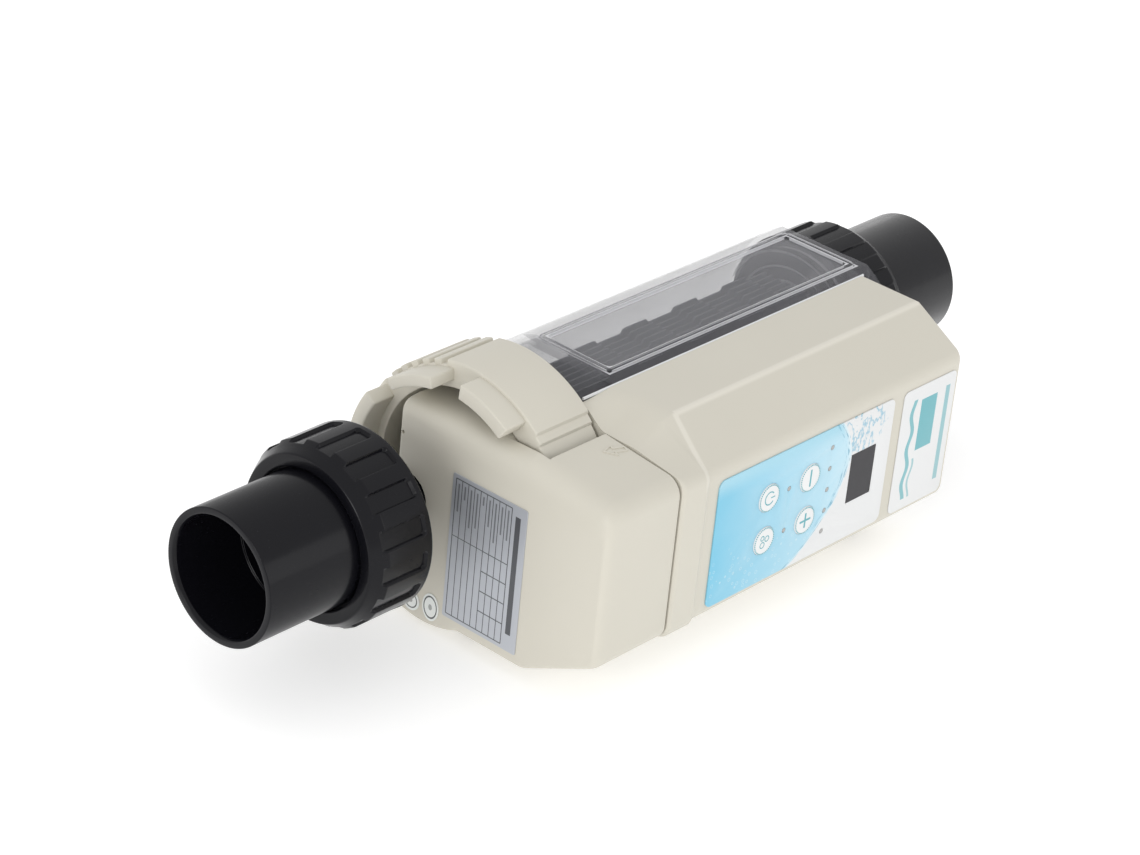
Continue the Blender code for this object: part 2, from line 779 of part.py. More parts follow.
def make_electronics():
    board_back = BOARD_Y + 1.6
    prism("main_circuit_board", rectangle_points(-50.0, 118.0, -34.0, 24.0), BOARD_Y, board_back, "Y", board_green)
    parts = board_back + GAP
    prism("power_transformer", rectangle_points(72.0, 104.0, -26.0, 4.0), parts, parts + 20.0, "Y", ferrite)
    prism("polarity_relay", rectangle_points(38.0, 58.0, -8.0, 10.0), parts, parts + 15.0, "Y", relay_blue)
    rod("reservoir_capacitor", (22.0, parts, -20.0), (22.0, parts + 20.0, -20.0), 8.0, black_component, 20)
    prism("terminal_block", rectangle_points(-44.0, -20.0, -14.0, 4.0), parts, parts + 14.0, "Y", terminal_green)
    x, y, radius = DC_SOCKET
    rod("dc_inlet_socket", (x, y, BOTTOM + 1.0), (x, y, BOTTOM + 16.0), radius, black_component, 20)


# Labels and fasteners ---------------------------------------------------------------


def make_labels():
    face = COVER_FACE - 0.05
    y0, y1, z0, z1 = RATING_PLATE
    prism("rating_plate", rounded(rectangle(y0, y1, z0, z1, 0.6), 1), face - 0.4, face, "X", label_silver)
    for name, y, z, a, b in (("inspection_sticker", -11.3, -53.2, 4.7, 6.6), ("conformity_sticker", 0.2, -54.8, 4.9, 4.9)):
        outline = [(y + a * u, z + b * v) for u, v in arc(0, 0, 1, 0, 345, 24)]
        prism(name, outline, face - 0.4, face, "X", label_silver)


clear_scene()
assembly = bpy.data.objects.new("assembly", None)
assembly.location = (0.0, PIPE_FROM_MIDDLE * MM, PIPE_TO_FLOOR * MM)
bpy.context.scene.collection.objects.link(assembly)

beige_plastic = material("beige plastic", (0.72, 0.68, 0.58), 0.42)
black_pvc = material("black pvc", (0.018, 0.018, 0.020), 0.22)
clear_plastic = material("clear plastic", (0.55, 0.57, 0.60), 0.08, alpha=0.35)
seal_rubber = material("seal rubber", (0.03, 0.03, 0.03), 0.7)
coated_titanium = material("coated titanium", (0.05, 0.05, 0.055), 0.45, 0.8)
titanium = material("titanium", (0.35, 0.34, 0.33), 0.35, 1.0)
brass = material("brass", (0.72, 0.52, 0.25), 0.3, 1.0)
overlay_film = material("overlay film", (0.35, 0.66, 0.83), 0.35)
button_white = material("button white", (0.85, 0.87, 0.88), 0.4)
light_guide = material("light guide", (0.3, 0.28, 0.26), 0.3)
smoked_acrylic = material("smoked acrylic", (0.06, 0.06, 0.065), 0.15)
label_white = material("label white", (0.86, 0.87, 0.87), 0.35)
label_silver = material("label silver", (0.45, 0.47, 0.51), 0.4, 0.3)
black_component = material("black component", (0.03, 0.03, 0.035), 0.5)
board_green = material("board green", (0.03, 0.16, 0.06), 0.5)
ferrite = material("ferrite", (0.12, 0.11, 0.10), 0.6)
relay_blue = material("relay blue", (0.04, 0.12, 0.35), 0.4)
terminal_green = material("terminal green", (0.05, 0.30, 0.12), 0.45)

for side_name, side in (("inlet", -1), ("outlet", 1)):
    make_tail_pipe(f"{side_name}_tail_pipe", side)
    make_union_nut(f"{side_name}_union_nut", side)
make_clear_cell()
make_electrode_cap()
make_o_ring("electrode_cap_o_ring", -76.1, -72.9, 45.1, 47.7, (BARREL_Y, 0.0), 36)
make_electrodes()
make_locking_ring()
make_end_cover()
make_control_housing()
make_panel()
make_electronics()
make_labels()
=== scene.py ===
# %% [markdown]
# # An inline salt chlorine generator
#
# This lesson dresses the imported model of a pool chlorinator: a cream control box beside a
# clear cell, with black unions at both ends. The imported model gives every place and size.
# Each cell makes one piece or one finish, and says why it is made that way.

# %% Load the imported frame
import math

import bmesh
import bpy
from mathutils import Matrix, Vector


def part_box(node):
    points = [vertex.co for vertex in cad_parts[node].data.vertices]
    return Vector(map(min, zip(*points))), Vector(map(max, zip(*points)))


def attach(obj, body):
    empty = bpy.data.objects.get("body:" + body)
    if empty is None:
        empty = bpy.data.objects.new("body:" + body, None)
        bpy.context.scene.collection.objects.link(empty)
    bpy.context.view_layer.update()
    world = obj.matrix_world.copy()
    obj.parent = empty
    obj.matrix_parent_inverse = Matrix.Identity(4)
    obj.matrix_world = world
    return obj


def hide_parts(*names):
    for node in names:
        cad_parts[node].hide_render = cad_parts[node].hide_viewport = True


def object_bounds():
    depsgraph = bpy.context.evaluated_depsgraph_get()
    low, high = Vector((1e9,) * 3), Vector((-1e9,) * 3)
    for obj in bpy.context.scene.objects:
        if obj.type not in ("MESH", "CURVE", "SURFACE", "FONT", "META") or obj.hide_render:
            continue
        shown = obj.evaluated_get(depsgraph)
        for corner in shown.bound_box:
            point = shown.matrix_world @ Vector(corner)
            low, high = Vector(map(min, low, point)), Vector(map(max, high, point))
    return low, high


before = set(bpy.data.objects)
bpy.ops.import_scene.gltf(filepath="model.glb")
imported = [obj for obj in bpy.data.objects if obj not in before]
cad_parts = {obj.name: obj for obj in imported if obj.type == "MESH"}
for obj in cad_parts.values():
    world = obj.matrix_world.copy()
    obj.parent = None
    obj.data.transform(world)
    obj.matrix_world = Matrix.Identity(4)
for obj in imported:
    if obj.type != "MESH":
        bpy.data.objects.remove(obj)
cad_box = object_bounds()

# %% [markdown]
# The whole object is laid out around two parallel lines: the pipe's axis, and the axis of
# the wider barrel that holds the electrodes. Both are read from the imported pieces, so a
# piece that is drawn around them lands where the model says.

# %% Find the two axes
MM, TO_MM = 0.001, 1000.0


def middle_mm(node):
    low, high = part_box(node)
    return (Vector(low) + Vector(high)) / 2 / MM


PIPE = Vector((0.0, *middle_mm("inlet_tail_pipe")[1:]))
BARREL_Y = middle_mm("electrode_cap_o_ring").y - PIPE.y


def span_mm(node):
    """The lowest and highest corners of a node, in millimetres from the pipe's axis."""
    low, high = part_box(node)
    return Vector(low) / MM - PIPE, Vector(high) / MM - PIPE


def centre_mm(node):
    low, high = span_mm(node)
    return (low + high) / 2


print("pipe axis at", tuple(round(v, 2) for v in PIPE), "barrel offset", round(BARREL_Y, 2))

# %% [markdown]
# Most pieces are drawn in millimetres around the pipe's axis, then finished by one
# function: it closes the mesh, moves it into the model's frame, shades it smooth with
# crisp edges, and hangs it on its body.

# %% Small tools for solids
MERGE = 0.0008  # points closer than this, in millimetres, become one
SHARP = 35  # an edge that turns by more degrees than this stays crisp


def linked(name, data):
    """A new object in the scene."""
    made = bpy.data.objects.new(name, data)
    bpy.context.scene.collection.objects.link(made)
    return made


def to_mesh(bm, name, sharp=SHARP):
    """Closes a mesh that was drawn in millimetres, and puts it into the model's frame."""
    bmesh.ops.remove_doubles(bm, verts=bm.verts, dist=MERGE)
    bmesh.ops.recalc_face_normals(bm, faces=bm.faces)
    bmesh.ops.translate(bm, verts=bm.verts, vec=PIPE)
    bmesh.ops.scale(bm, verts=bm.verts, vec=(MM, MM, MM))
    mesh = bpy.data.meshes.new(name)
    bm.to_mesh(mesh)
    bm.free()
    mesh.shade_smooth()
    mesh.set_sharp_from_angle(angle=math.radians(sharp))
    return linked(name, mesh)


def arc(u, v, radius, start, end, count):
    step = (end - start) / (count - 1)
    turns = [math.radians(start + step * i) for i in range(count)]
    return [(u + radius * math.cos(t), v + radius * math.sin(t)) for t in turns]


def disc(radius, centre=(0.0, 0.0), count=128):
    return arc(*centre, radius, 0, 360 - 360 / count, count)


def fillet(corner, last, following, radius, steps):
    """The points that round the corner between the last point and the following one."""
    here, a, b = Vector(corner), Vector(last), Vector(following)
    to_a, to_b = (a - here).normalized(), (b - here).normalized()
    half = to_a.angle(to_b) / 2
    centre = here + (to_a + to_b).normalized() * radius / math.sin(half)
    first = here + to_a * radius / math.tan(half) - centre
    final = here + to_b * radius / math.tan(half) - centre
    turns = [first.slerp(final, k / steps).normalized() for k in range(steps + 1)]
    return [tuple(centre + turn * radius) for turn in turns]


def rounded(corners, steps=8):
    """A closed outline whose corners (u, v, radius) are rounded with tangent arcs."""
    outline = []
    for i, (u, v, radius) in enumerate(corners):
        following = corners[(i + 1) % len(corners)][:2]
        if radius <= 0.05:
            outline.append((u, v))
        else:
            outline += fillet((u, v), corners[i - 1][:2], following, radius, steps)
    return outline


def box_outline(u0, u1, v0, v1, radius=0.0, steps=8):
    corners = [(u0, v0), (u1, v0), (u1, v1), (u0, v1)]
    return rounded([(*corner, radius) for corner in corners], steps)


def place(axis, along, u, v):
    return {"X": (along, u, v), "Y": (u, along, v), "Z": (u, v, along)}[axis]


def loft(name, sections, axis="X", sharp=SHARP):
    """A solid through outlines with equal point counts, given as (position, outline)."""
    bm = bmesh.new()
    rings = []
    for at, outline in sections:
        rings.append([bm.verts.new(place(axis, at, u, v)) for u, v in outline])
    bm.faces.new(rings[0][::-1])
    bm.faces.new(rings[-1])
    for low, high in zip(rings, rings[1:]):
        for i in range(len(low)):
            j = (i + 1) % len(low)
            bm.faces.new([low[i], low[j], high[j], high[i]])
    return to_mesh(bm, name, sharp=sharp)


def prism(name, outline, start, end, axis="X", sharp=SHARP):
    return loft(name, [(start, outline), (end, outline)], axis, sharp)


def turned(name, profile, centre=(0.0, 0.0), count=128, radius_at=None, sharp=SHARP):
    """A closed profile of (x, radius) turned about an axis along X."""
    bm = bmesh.new()
    rings = []
    for i in range(count):
        turn = 360 * i / count
        c, s = math.cos(math.radians(turn)), math.sin(math.radians(turn))
        ring = []
        for x, r in profile:
            r = radius_at(x, r, turn) if radius_at else r
            ring.append(bm.verts.new((x, centre[0] + r * c, centre[1] + r * s)))
        rings.append(ring)
    for i in range(count):
        here, there = rings[i], rings[(i + 1) % count]
        for k in range(len(profile)):
            j = (k + 1) % len(profile)
            bm.faces.new([here[k], here[j], there[j], there[k]])
    return to_mesh(bm, name, sharp=sharp)


def eased(profile):
    """A closed profile of (x, radius, edge), each corner rounded by its edge where it fits."""
    points = []
    for i, (x, r, edge) in enumerate(profile):
        last, following = profile[i - 1][:2], profile[(i + 1) % len(profile)][:2]
        near = min((Vector((x, r)) - Vector(other)).length for other in (last, following))
        points += fillet((x, r), last, following, min(edge, near * 0.45), 3)
    return points


def applied(piece):
    """Turns a piece with live modifiers into a plain mesh."""
    graph = bpy.context.evaluated_depsgraph_get()
    mesh = bpy.data.meshes.new_from_object(piece.evaluated_get(graph))
    piece.modifiers.clear()
    piece.data = mesh
    return piece


def shaded(piece, sharp=SHARP):
    piece.data.shade_smooth()
    piece.data.set_sharp_from_angle(angle=math.radians(sharp))
    return piece


def carve(piece, *others, operation="DIFFERENCE"):
    """Cuts the others from the piece, or joins them to it, and removes them."""
    for other in others:
        boolean = piece.modifiers.new("boolean", "BOOLEAN")
        boolean.operation = operation
        boolean.solver = "EXACT"
        boolean.object = other
        applied(piece)
        bpy.data.objects.remove(other, do_unlink=True)
    return piece


def soften(piece, width, segments, angle=SHARP):
    """Breaks every sharp edge with a small round, as a mould does."""
    bevel = piece.modifiers.new("bevel", "BEVEL")
    bevel.width = width * MM
    bevel.segments = segments
    bevel.limit_method = "ANGLE"
    bevel.angle_limit = math.radians(angle)
    bevel.use_clamp_overlap = True
    applied(piece)
    return shaded(piece, 40)


def joined(name, pieces):
    """One object from several, each keeping its own material."""
    bm = bmesh.new()
    slots = []
    for piece in pieces:
        base = len(bm.faces)
        bm.from_mesh(piece.data)
        bm.faces.ensure_lookup_table()
        for face in bm.faces[base:]:
            own = None
            if piece.data.materials:
                own = piece.data.materials[face.material_index]
            if own not in slots:
                slots.append(own)
            face.material_index = slots.index(own)
    mesh = bpy.data.meshes.new(name)
    bm.to_mesh(mesh)
    bm.free()
    for own in slots:
        if own:
            mesh.materials.append(own)
    for piece in pieces:
        bpy.data.objects.remove(piece, do_unlink=True)
    return shaded(linked(name, mesh))


def finished(piece, body, surface, slot, *nodes):
    """Gives a piece its material and its body, and hides the CAD nodes that it stands for."""
    if surface:
        piece.data.materials.clear()
        piece.data.materials.append(surface)
    if nodes:
        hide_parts(*nodes)
    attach(piece, body)
    print(f"{piece.name}: {len(piece.data.polygons)} faces on {body}")
    return piece


# %% [markdown]
# ## Finishes
#
# Shader maths reads better as Python. `S` wraps one socket, and its operators add the Math
# nodes, so `1 - mask` works. `Nodes` holds one tree and adds any other node by its type,
# with its settings first and its sockets after them. `Finish` is the tree of one material.

# %% Shader maths as expressions


class S:
    def __init__(self, nodes, socket):
        self.nodes = nodes
        self.socket = socket

    def _op(self, operation, *values):
        settings = {"operation": operation}
        return self.nodes.add("ShaderNodeMath", settings, dict(enumerate(values)))

    def __add__(self, other):
        return self._op("ADD", self, other)

    def __sub__(self, other):
        return self._op("SUBTRACT", self, other)

    def __rsub__(self, other):
        return self._op("SUBTRACT", other, self)

    def __mul__(self, other):
        return self._op("MULTIPLY", self, other)

    def __truediv__(self, other):
        return self._op("DIVIDE", self, other)

    def __rtruediv__(self, other):
        return self._op("DIVIDE", other, self)

    def __pow__(self, other):
        return self._op("POWER", self, other)

    __radd__ = __add__
    __rmul__ = __mul__

    def do(self, operation, *values):
        return self._op(operation, self, *values)

    def within(self, low, high):
        """1 between two values and 0 outside them."""
        return self._op("GREATER_THAN", self, low) * self._op("LESS_THAN", self, high)

    def near(self, value, reach):
        """1 where it is closer to a value than reach, and 0 elsewhere."""
        return (self - value).do("ABSOLUTE").do("LESS_THAN", reach)

    def ramp(self, low, high):
        """0 up to low, 1 from high, and a smooth rise between them."""
        settings = {"clamp": True, "interpolation_type": "SMOOTHSTEP"}
        return self.nodes.add("ShaderNodeMapRange", settings, {0: self, 1: low, 2: high})


class Nodes:
    def add(self, kind, settings=None, sockets=None, out=0):
        node = self.tree.nodes.new(kind)
        for key, value in (settings or {}).items():
            setattr(node, key, value)
        for key, value in (sockets or {}).items():
            if isinstance(value, S):
                self.tree.links.new(value.socket, node.inputs[key])
            else:
                node.inputs[key].default_value = value
        return S(self, node.outputs[out])

    def split(self, vector):
        """The x, y and z of a vector socket."""
        node = self.tree.nodes.new("ShaderNodeSeparateXYZ")
        self.tree.links.new(vector.socket, node.inputs[0])
        return [S(self, out) for out in node.outputs]


class Finish(Nodes):
    def __init__(self, name, colour, roughness, **constants):
        self.material = bpy.data.materials.new(name)
        self.material.use_nodes = True
        self.tree = self.material.node_tree
        self.shader = self.tree.nodes["Principled BSDF"]
        self.set("Base Color", (*colour, 1.0))
        self.set("Roughness", roughness)
        for socket, value in constants.items():
            self.set(socket.replace("_", " "), value)
        self.material.diffuse_color = (*colour, 1.0)

    def set(self, socket, value):
        if isinstance(value, S):
            self.tree.links.new(value.socket, self.shader.inputs[socket])
        else:
            self.shader.inputs[socket].default_value = value

    def place(self):
        """Object coordinates moved to the pipe's axis and turned into millimetres."""
        at = self.add("ShaderNodeTexCoord", out="Object")
        settings = {"vector_type": "POINT"}
        sockets = {0: at, 1: tuple(-PIPE), 3: (TO_MM, TO_MM, TO_MM)}
        return self.add("ShaderNodeMapping", settings, sockets)

    def xyz(self):
        return self.split(self.place())

    def noise(self, scale, detail=3.0, stretch=None):
        at = self.place()
        if stretch:
            at = self.add("ShaderNodeMapping", {}, {0: at, 3: stretch})
        sockets = {"Vector": at, "Scale": scale, "Detail": detail}
        return self.add("ShaderNodeTexNoise", {}, sockets)

    def mix(self, factor, one, two):
        """One colour where the factor is 0, and two where it is 1."""
        one, two = (value if isinstance(value, S) else (*value, 1.0) for value in (one, two))
        sockets = {0: factor, 6: one, 7: two}
        return self.add("ShaderNodeMix", {"data_type": "RGBA"}, sockets, out=2)

    def bump(self, height, distance_mm, strength=0.5):
        sockets = {"Height": height, "Distance": distance_mm * MM, "Strength": strength}
        self.set("Normal", self.add("ShaderNodeBump", {}, sockets))


# %% [markdown]
# The cream shells are moulded in ABS with a very fine spark-eroded texture. Two noises do
# it: one at a third of a millimetre for the grain, and one at some centimetres that makes
# the gloss and the tint wander a little, as moulded plastic does. A paler tint along the
# crease that frames the raised block stands for the light that the real crease catches.

# %% Cream plastic
cream = Finish("cream_moulded_abs", (0.64, 0.61, 0.54), 0.42, Specular_IOR_Level=0.35)
grain = cream.noise(3.0, 2.0)
drift = cream.noise(0.02, 3.0)
x, y, z = cream.xyz()
CREASE_Y, CREASE_START, CREASE_END, CREASE_LEAN = -77.2, -41.6, 125.0, 0.27
from_top_line = (y - CREASE_Y).do("ABSOLUTE")
from_side_line = (x - CREASE_START - (y + 77.0) * CREASE_LEAN).do("ABSOLUTE")
along_top = from_top_line.ramp(2.2, 0.6) * x.within(CREASE_START, CREASE_END) * z.ramp(42.5, 44.0)
down_side = from_side_line.ramp(1.9, 0.6) * y.ramp(-76.0, -78.0) * z.ramp(20.0, 34.0)
# Painted highlight: a paler tint along the crease stands for the light that the real crease
# catches.
painted_crease_highlight = (along_top + down_side).do("MINIMUM", 1.0)
tint = cream.mix(drift, (0.605, 0.578, 0.500), (0.640, 0.612, 0.532))
cream.set("Base Color", cream.mix(painted_crease_highlight * 0.75, tint, (0.745, 0.715, 0.635)))
cream.set("Roughness", 0.36 + drift * 0.08 + grain * 0.06)
cream.bump(grain, 0.02, 0.35)
print("cream finish ready")

# %% [markdown]
# The unions are injection-moulded PVC: black, glossy, with a few rubbed marks and dust
# specks. The marks are stretched along the pipe, the way a pipe is pushed in.

# %% Black PVC
pvc = Finish("black_glossy_pvc", (0.005, 0.005, 0.007), 0.22, Specular_IOR_Level=0.2)
cloud = pvc.noise(0.05, 4.0)
rub = pvc.noise(1.2, 3.0, stretch=(0.25, 1.0, 1.0)).do("SUBTRACT", 0.62).ramp(0.0, 0.12)
speck = pvc.noise(2.6, 1.0).do("SUBTRACT", 0.78).ramp(0.0, 0.02)
pvc.set("Base Color", pvc.mix(speck * 0.5, (0.005, 0.005, 0.007), (0.09, 0.09, 0.10)))
pvc.set("Roughness", 0.14 + cloud * 0.12 + rub * 0.10)
pvc.bump(pvc.noise(0.12, 2.0) + rub * 0.05, 0.35, 0.12)
print("pvc finish ready")

# %% [markdown]
# The cell is clear plastic with a slight smoky tint. Full refraction through so many walls
# turns nearly black, because each wall bends the light into the dark blades. Real walls
# this thin mostly let light straight through and add a pale sheen, so the surface is
# partly see-through, and more solid where it is seen at a slant. Pale lines on the window's
# rim and round the port stand for the light that such edges catch.

# %% Clear smoky plastic
clear = Finish("clear_smoky_plastic", (0.24, 0.24, 0.26), 0.05, Specular_IOR_Level=0.6)
haze = clear.noise(0.03, 3.0)
slant = clear.add("ShaderNodeLayerWeight", {}, {"Blend": 0.35}, out="Facing")
WINDOW = (-36.0, 133.0, -36.0, 6.5)  # the rim's edges: low x, high x, low y, high y


def past(value, low, high):
    """How far a value is past the nearer of two edges, and below 0 between them."""
    return (value - (low + high) / 2).do("ABSOLUTE") - (high - low) / 2


x, y, z = clear.xyz()
outside = past(x, *WINDOW[:2]).do("MAXIMUM", past(y, *WINDOW[2:]))
lip = (outside.near(0.0, 0.55) + outside.near(-3.1, 0.45)) * z.do("GREATER_THAN", 44.9)
recess = outside.do("LESS_THAN", -2.6) * z.do("GREATER_THAN", 44.0)
reach = (y * y + z * z) ** 0.5
rims = reach.near(22.0, 0.7) + reach.near(29.0, 0.5) + reach.near(36.2, 0.6)
lip = (lip + rims * x.within(132.5, 140.0) * 0.7).do("MINIMUM", 1.0)
body_tint = clear.mix(recess, (0.20, 0.20, 0.22), (0.34, 0.34, 0.365))
solid = 0.11 + haze * 0.04 + slant * 0.32 + lip * 0.5 + recess * 0.05
clear.set("Base Color", clear.mix(lip, body_tint, (0.72, 0.72, 0.75)))
clear.set("Alpha", solid.do("MINIMUM", 0.95))
clear.set("Roughness", 0.03 + haze * 0.05)
print("clear finish ready")

# %% Dark metals, rubber and small finishes
blade = Finish("oxide_coated_titanium", (0.05, 0.05, 0.055), 0.45, Metallic=0.7)
streak = blade.noise(0.25, 4.0, stretch=(0.15, 1.0, 1.0))
blade.set("Base Color", blade.mix(streak, (0.035, 0.035, 0.04), (0.10, 0.10, 0.11)))
blade.set("Roughness", 0.35 + streak * 0.25)

rubber = Finish("black_seal_rubber", (0.02, 0.02, 0.02), 0.7)
rubber.set("Roughness", 0.6 + rubber.noise(0.8) * 0.2)

# A pale grey for the strip along the shelf, which is a painted highlight on the window's lower
# edge.
edge_highlight_grey = Finish("pale_grey_gasket", (0.74, 0.75, 0.77), 0.4)
edge_highlight_grey.set("Roughness", 0.35 + edge_highlight_grey.noise(0.5) * 0.15)

gold = Finish("brass_terminal", (0.72, 0.50, 0.22), 0.3, Metallic=1.0)
gold.set("Roughness", 0.22 + gold.noise(1.0) * 0.2)


def speckled(name, dark, light, roughness, scale=0.6):
    finish = Finish(name, dark, roughness)
    spots = finish.noise(scale, 3.0)
    finish.set("Base Color", finish.mix(spots, dark, light))
    finish.set("Roughness", roughness - 0.05 + spots * 0.1)
    return finish


black_dark, black_pale = (0.02, 0.02, 0.022), (0.04, 0.04, 0.042)
moulded_black = speckled("moulded_black_component", black_dark, black_pale, 0.5)
laminate = speckled("green_board_laminate", (0.02, 0.13, 0.05), (0.03, 0.18, 0.07), 0.42)
core_iron = speckled("transformer_core", (0.09, 0.085, 0.08), (0.15, 0.14, 0.13), 0.55)
relay_case = speckled("blue_relay_case", (0.03, 0.10, 0.32), (0.04, 0.13, 0.38), 0.35)
terminal_case = speckled("green_terminal_case", (0.04, 0.26, 0.10), (0.05, 0.32, 0.13), 0.45)
lens_grey = speckled("grey_light_guide", (0.36, 0.355, 0.345), (0.44, 0.435, 0.42), 0.25)
smoked_dark, smoked_pale = (0.026, 0.025, 0.028), (0.034, 0.032, 0.036)
smoked = speckled("smoked_display_glass", smoked_dark, smoked_pale, 0.25, 0.1)
smoked.set("Specular IOR Level", 0.25)
print("small finishes ready")

# %% [markdown]
# ## The inlet and the outlet
#
# The stubs are plain pipe ends for gluing. Turning a profile about the pipe's axis is the
# natural way, with the mouth's edges rounded and a step inside where the socket stops.

# %% Tail pipes
STUB_R, STUB_BORE, FLANGE_R, SOCKET_R, SOCKET_DEPTH = 30.15, 25.0, 35.6, 26.45, 36.0
for end, side in (("inlet", -1), ("outlet", 1)):
    low, high = span_mm(f"{end}_tail_pipe")
    tip = max(abs(low.x), abs(high.x))
    flange = min(abs(low.x), abs(high.x))
    outline = [
        (tip, 27.2, 0.7),
        (tip, STUB_R, 0.5),
        (flange + 10.5, STUB_R, 0.6),
        (flange + 10.5, FLANGE_R, 0.5),
        (flange, FLANGE_R, 0.3),
        (flange, STUB_BORE, 0.3),
        (tip - SOCKET_DEPTH, STUB_BORE, 0.4),
        (tip - SOCKET_DEPTH - 0.5, SOCKET_R, 0.4),
        (tip - 1.6, SOCKET_R, 0.5),
    ]
    section = [(side * x, r) for x, r in eased(outline)]
    pipe = turned(f"{end}_pipe_stub", section, count=160)
    finished(pipe, "body", pvc.material, "black_pvc", f"{end}_tail_pipe")

# %% [markdown]
# A union nut has sixteen shallow pockets to grip. They repeat round the nut, so a Geometry
# Nodes tree presses them in: for each point it works out the angle within its own pitch and
# the distance to a rounded rectangle, and moves the point inwards where it is inside. The
# number of pockets, their width, depth and edge are inputs of the tree.

# %% A Geometry Nodes tree as expressions


class Tree(Nodes):
    """A Geometry Nodes tree with named inputs, and a way to run it on an object."""

    def __init__(self, name, **inputs):
        self.tree = bpy.data.node_groups.new(name, "GeometryNodeTree")
        face = self.tree.interface
        face.new_socket("Geometry", in_out="INPUT", socket_type="NodeSocketGeometry")
        face.new_socket("Geometry", in_out="OUTPUT", socket_type="NodeSocketGeometry")
        for label, value in inputs.items():
            kind = "NodeSocketInt" if isinstance(value, int) else "NodeSocketFloat"
            face.new_socket(label, in_out="INPUT", socket_type=kind)
        self.values = inputs
        self.input = self.tree.nodes.new("NodeGroupInput")
        self.output = self.tree.nodes.new("NodeGroupOutput")

    def __getitem__(self, label):
        return S(self, self.input.outputs[label])

    def vector(self, x=0.0, y=0.0, z=0.0):
        return self.add("ShaderNodeCombineXYZ", {}, {0: x, 1: y, 2: z})

    def run(self, piece, geometry, surface):
        real = self.add("GeometryNodeRealizeInstances", {}, {0: geometry})
        painted = self.add("GeometryNodeSetMaterial", {}, {0: real, 2: surface})
        self.tree.links.new(painted.socket, self.output.inputs[0])
        modifier = piece.modifiers.new(self.tree.name, "NODES")
        modifier.node_group = self.tree
        for item in self.tree.interface.items_tree:
            if item.in_out == "INPUT" and item.name in self.values:
                modifier[item.identifier] = self.values[item.name]
        return applied(piece)

    def grow(self, geometry, surface):
        """Runs the tree on a new object, for a tree that brings its own geometry."""
        name = self.tree.name
        return self.run(linked(name, bpy.data.meshes.new(name)), geometry, surface)


# %% Grip pockets for one nut
NUT_INSIDE = 36.2  # a point past this radius may be on the nut's outer skin


def press_pockets(piece, side):
    """The nut's outer skin goes in where a point lies inside a pocket."""
    tree = Tree(
        "grip_pockets",
        Pockets=16,
        Turn=0.40,
        Half_width=4.15,
        Round=1.6,
        Start=147.0,
        Floor=39.75,
        Edge=0.30,
    )
    x, y, z = tree.split(tree.add("GeometryNodeInputPosition"))
    x, y, z = x * TO_MM, y * TO_MM - PIPE.y, z * TO_MM - PIPE.z
    radius = (y * y + z * z) ** 0.5
    pitch = 2 * math.pi / tree["Pockets"]
    turn = z.do("ARCTAN2", y) / pitch + tree["Turn"]
    across = (turn.do("FRACT") - 0.5).do("ABSOLUTE") * pitch * radius
    past = tree["Half_width"] - tree["Round"]
    du = (across - past).do("MAXIMUM", 0.0)
    dx = (tree["Start"] + tree["Round"] - x * side).do("MAXIMUM", 0.0)
    away = (du * du + dx * dx) ** 0.5 - tree["Round"]
    inside = away.ramp(tree["Edge"], 0.0 - tree["Edge"])
    outer = (radius - tree["Floor"]).do("MAXIMUM", 0.0) * radius.do("GREATER_THAN", NUT_INSIDE)
    drop = outer * inside * -MM
    offset = tree.vector(0.0, y / radius * drop, z / radius * drop)
    moved = tree.add("GeometryNodeSetPosition", {}, {0: tree["Geometry"], 3: offset})
    return tree.run(piece, moved, pvc.material)


# %% Union nuts


def nut_profile():
    """The nut's section, with many points along the grip so that the pockets read well."""
    shell = [(143.5, 38.4), (143.5, 40.3), (143.7, 40.8), (144.1, 41.1), (144.6, 41.2)]
    shell += [(144.6 + 0.4 * i, 41.2) for i in range(1, 61)]
    shell += [(168.8, 41.15), (169.1, 41.0)]
    shell += [(169.1 + 0.2 * i, 41.0 - 0.131 * i) for i in range(1, 17)]
    shell += [(172.3 + 0.7 * i, 38.9 - 0.4 * i) for i in range(1, 5)]
    shell += [(175.9, 36.8), (176.0, 36.4), (176.0, 32.2), (175.7, 31.5), (175.0, 31.2)]
    shell += [(173.2, 31.2), (173.1, 36.8), (172.2, 37.7), (144.0, 37.7)]
    return shell


for end, side in (("inlet", -1), ("outlet", 1)):
    nut = turned(f"{end}_grip_nut", [(side * x, r) for x, r in nut_profile()], count=704)
    press_pockets(nut, side)
    shaded(nut, 50)
    finished(nut, f"{end}_union_nut", pvc.material, "black_pvc", f"{end}_union_nut")

# %% [markdown]
# ## The clear cell
#
# The cell is a round barrel of clear plastic. Its top is cut flat for a window, a shelf
# beside the window meets the control box, and the outlet port is moulded to its end wall.
# Solid shapes joined and cut with Booleans follow how the mould is made. Every edge is then
# rounded a little, so that it catches light as a moulded edge does.

# %% Clear cell
cell_low, cell_high = span_mm("clear_cell_body")
CELL_START, PORT_END = cell_low.x, cell_high.x
BARREL = (BARREL_Y, 0.0)
FAR_WALL, CELL_TOP, SHELF_Y = 138.0, 45.6, -44.4
CELL_R, CELL_BORE = 52.0, 48.0

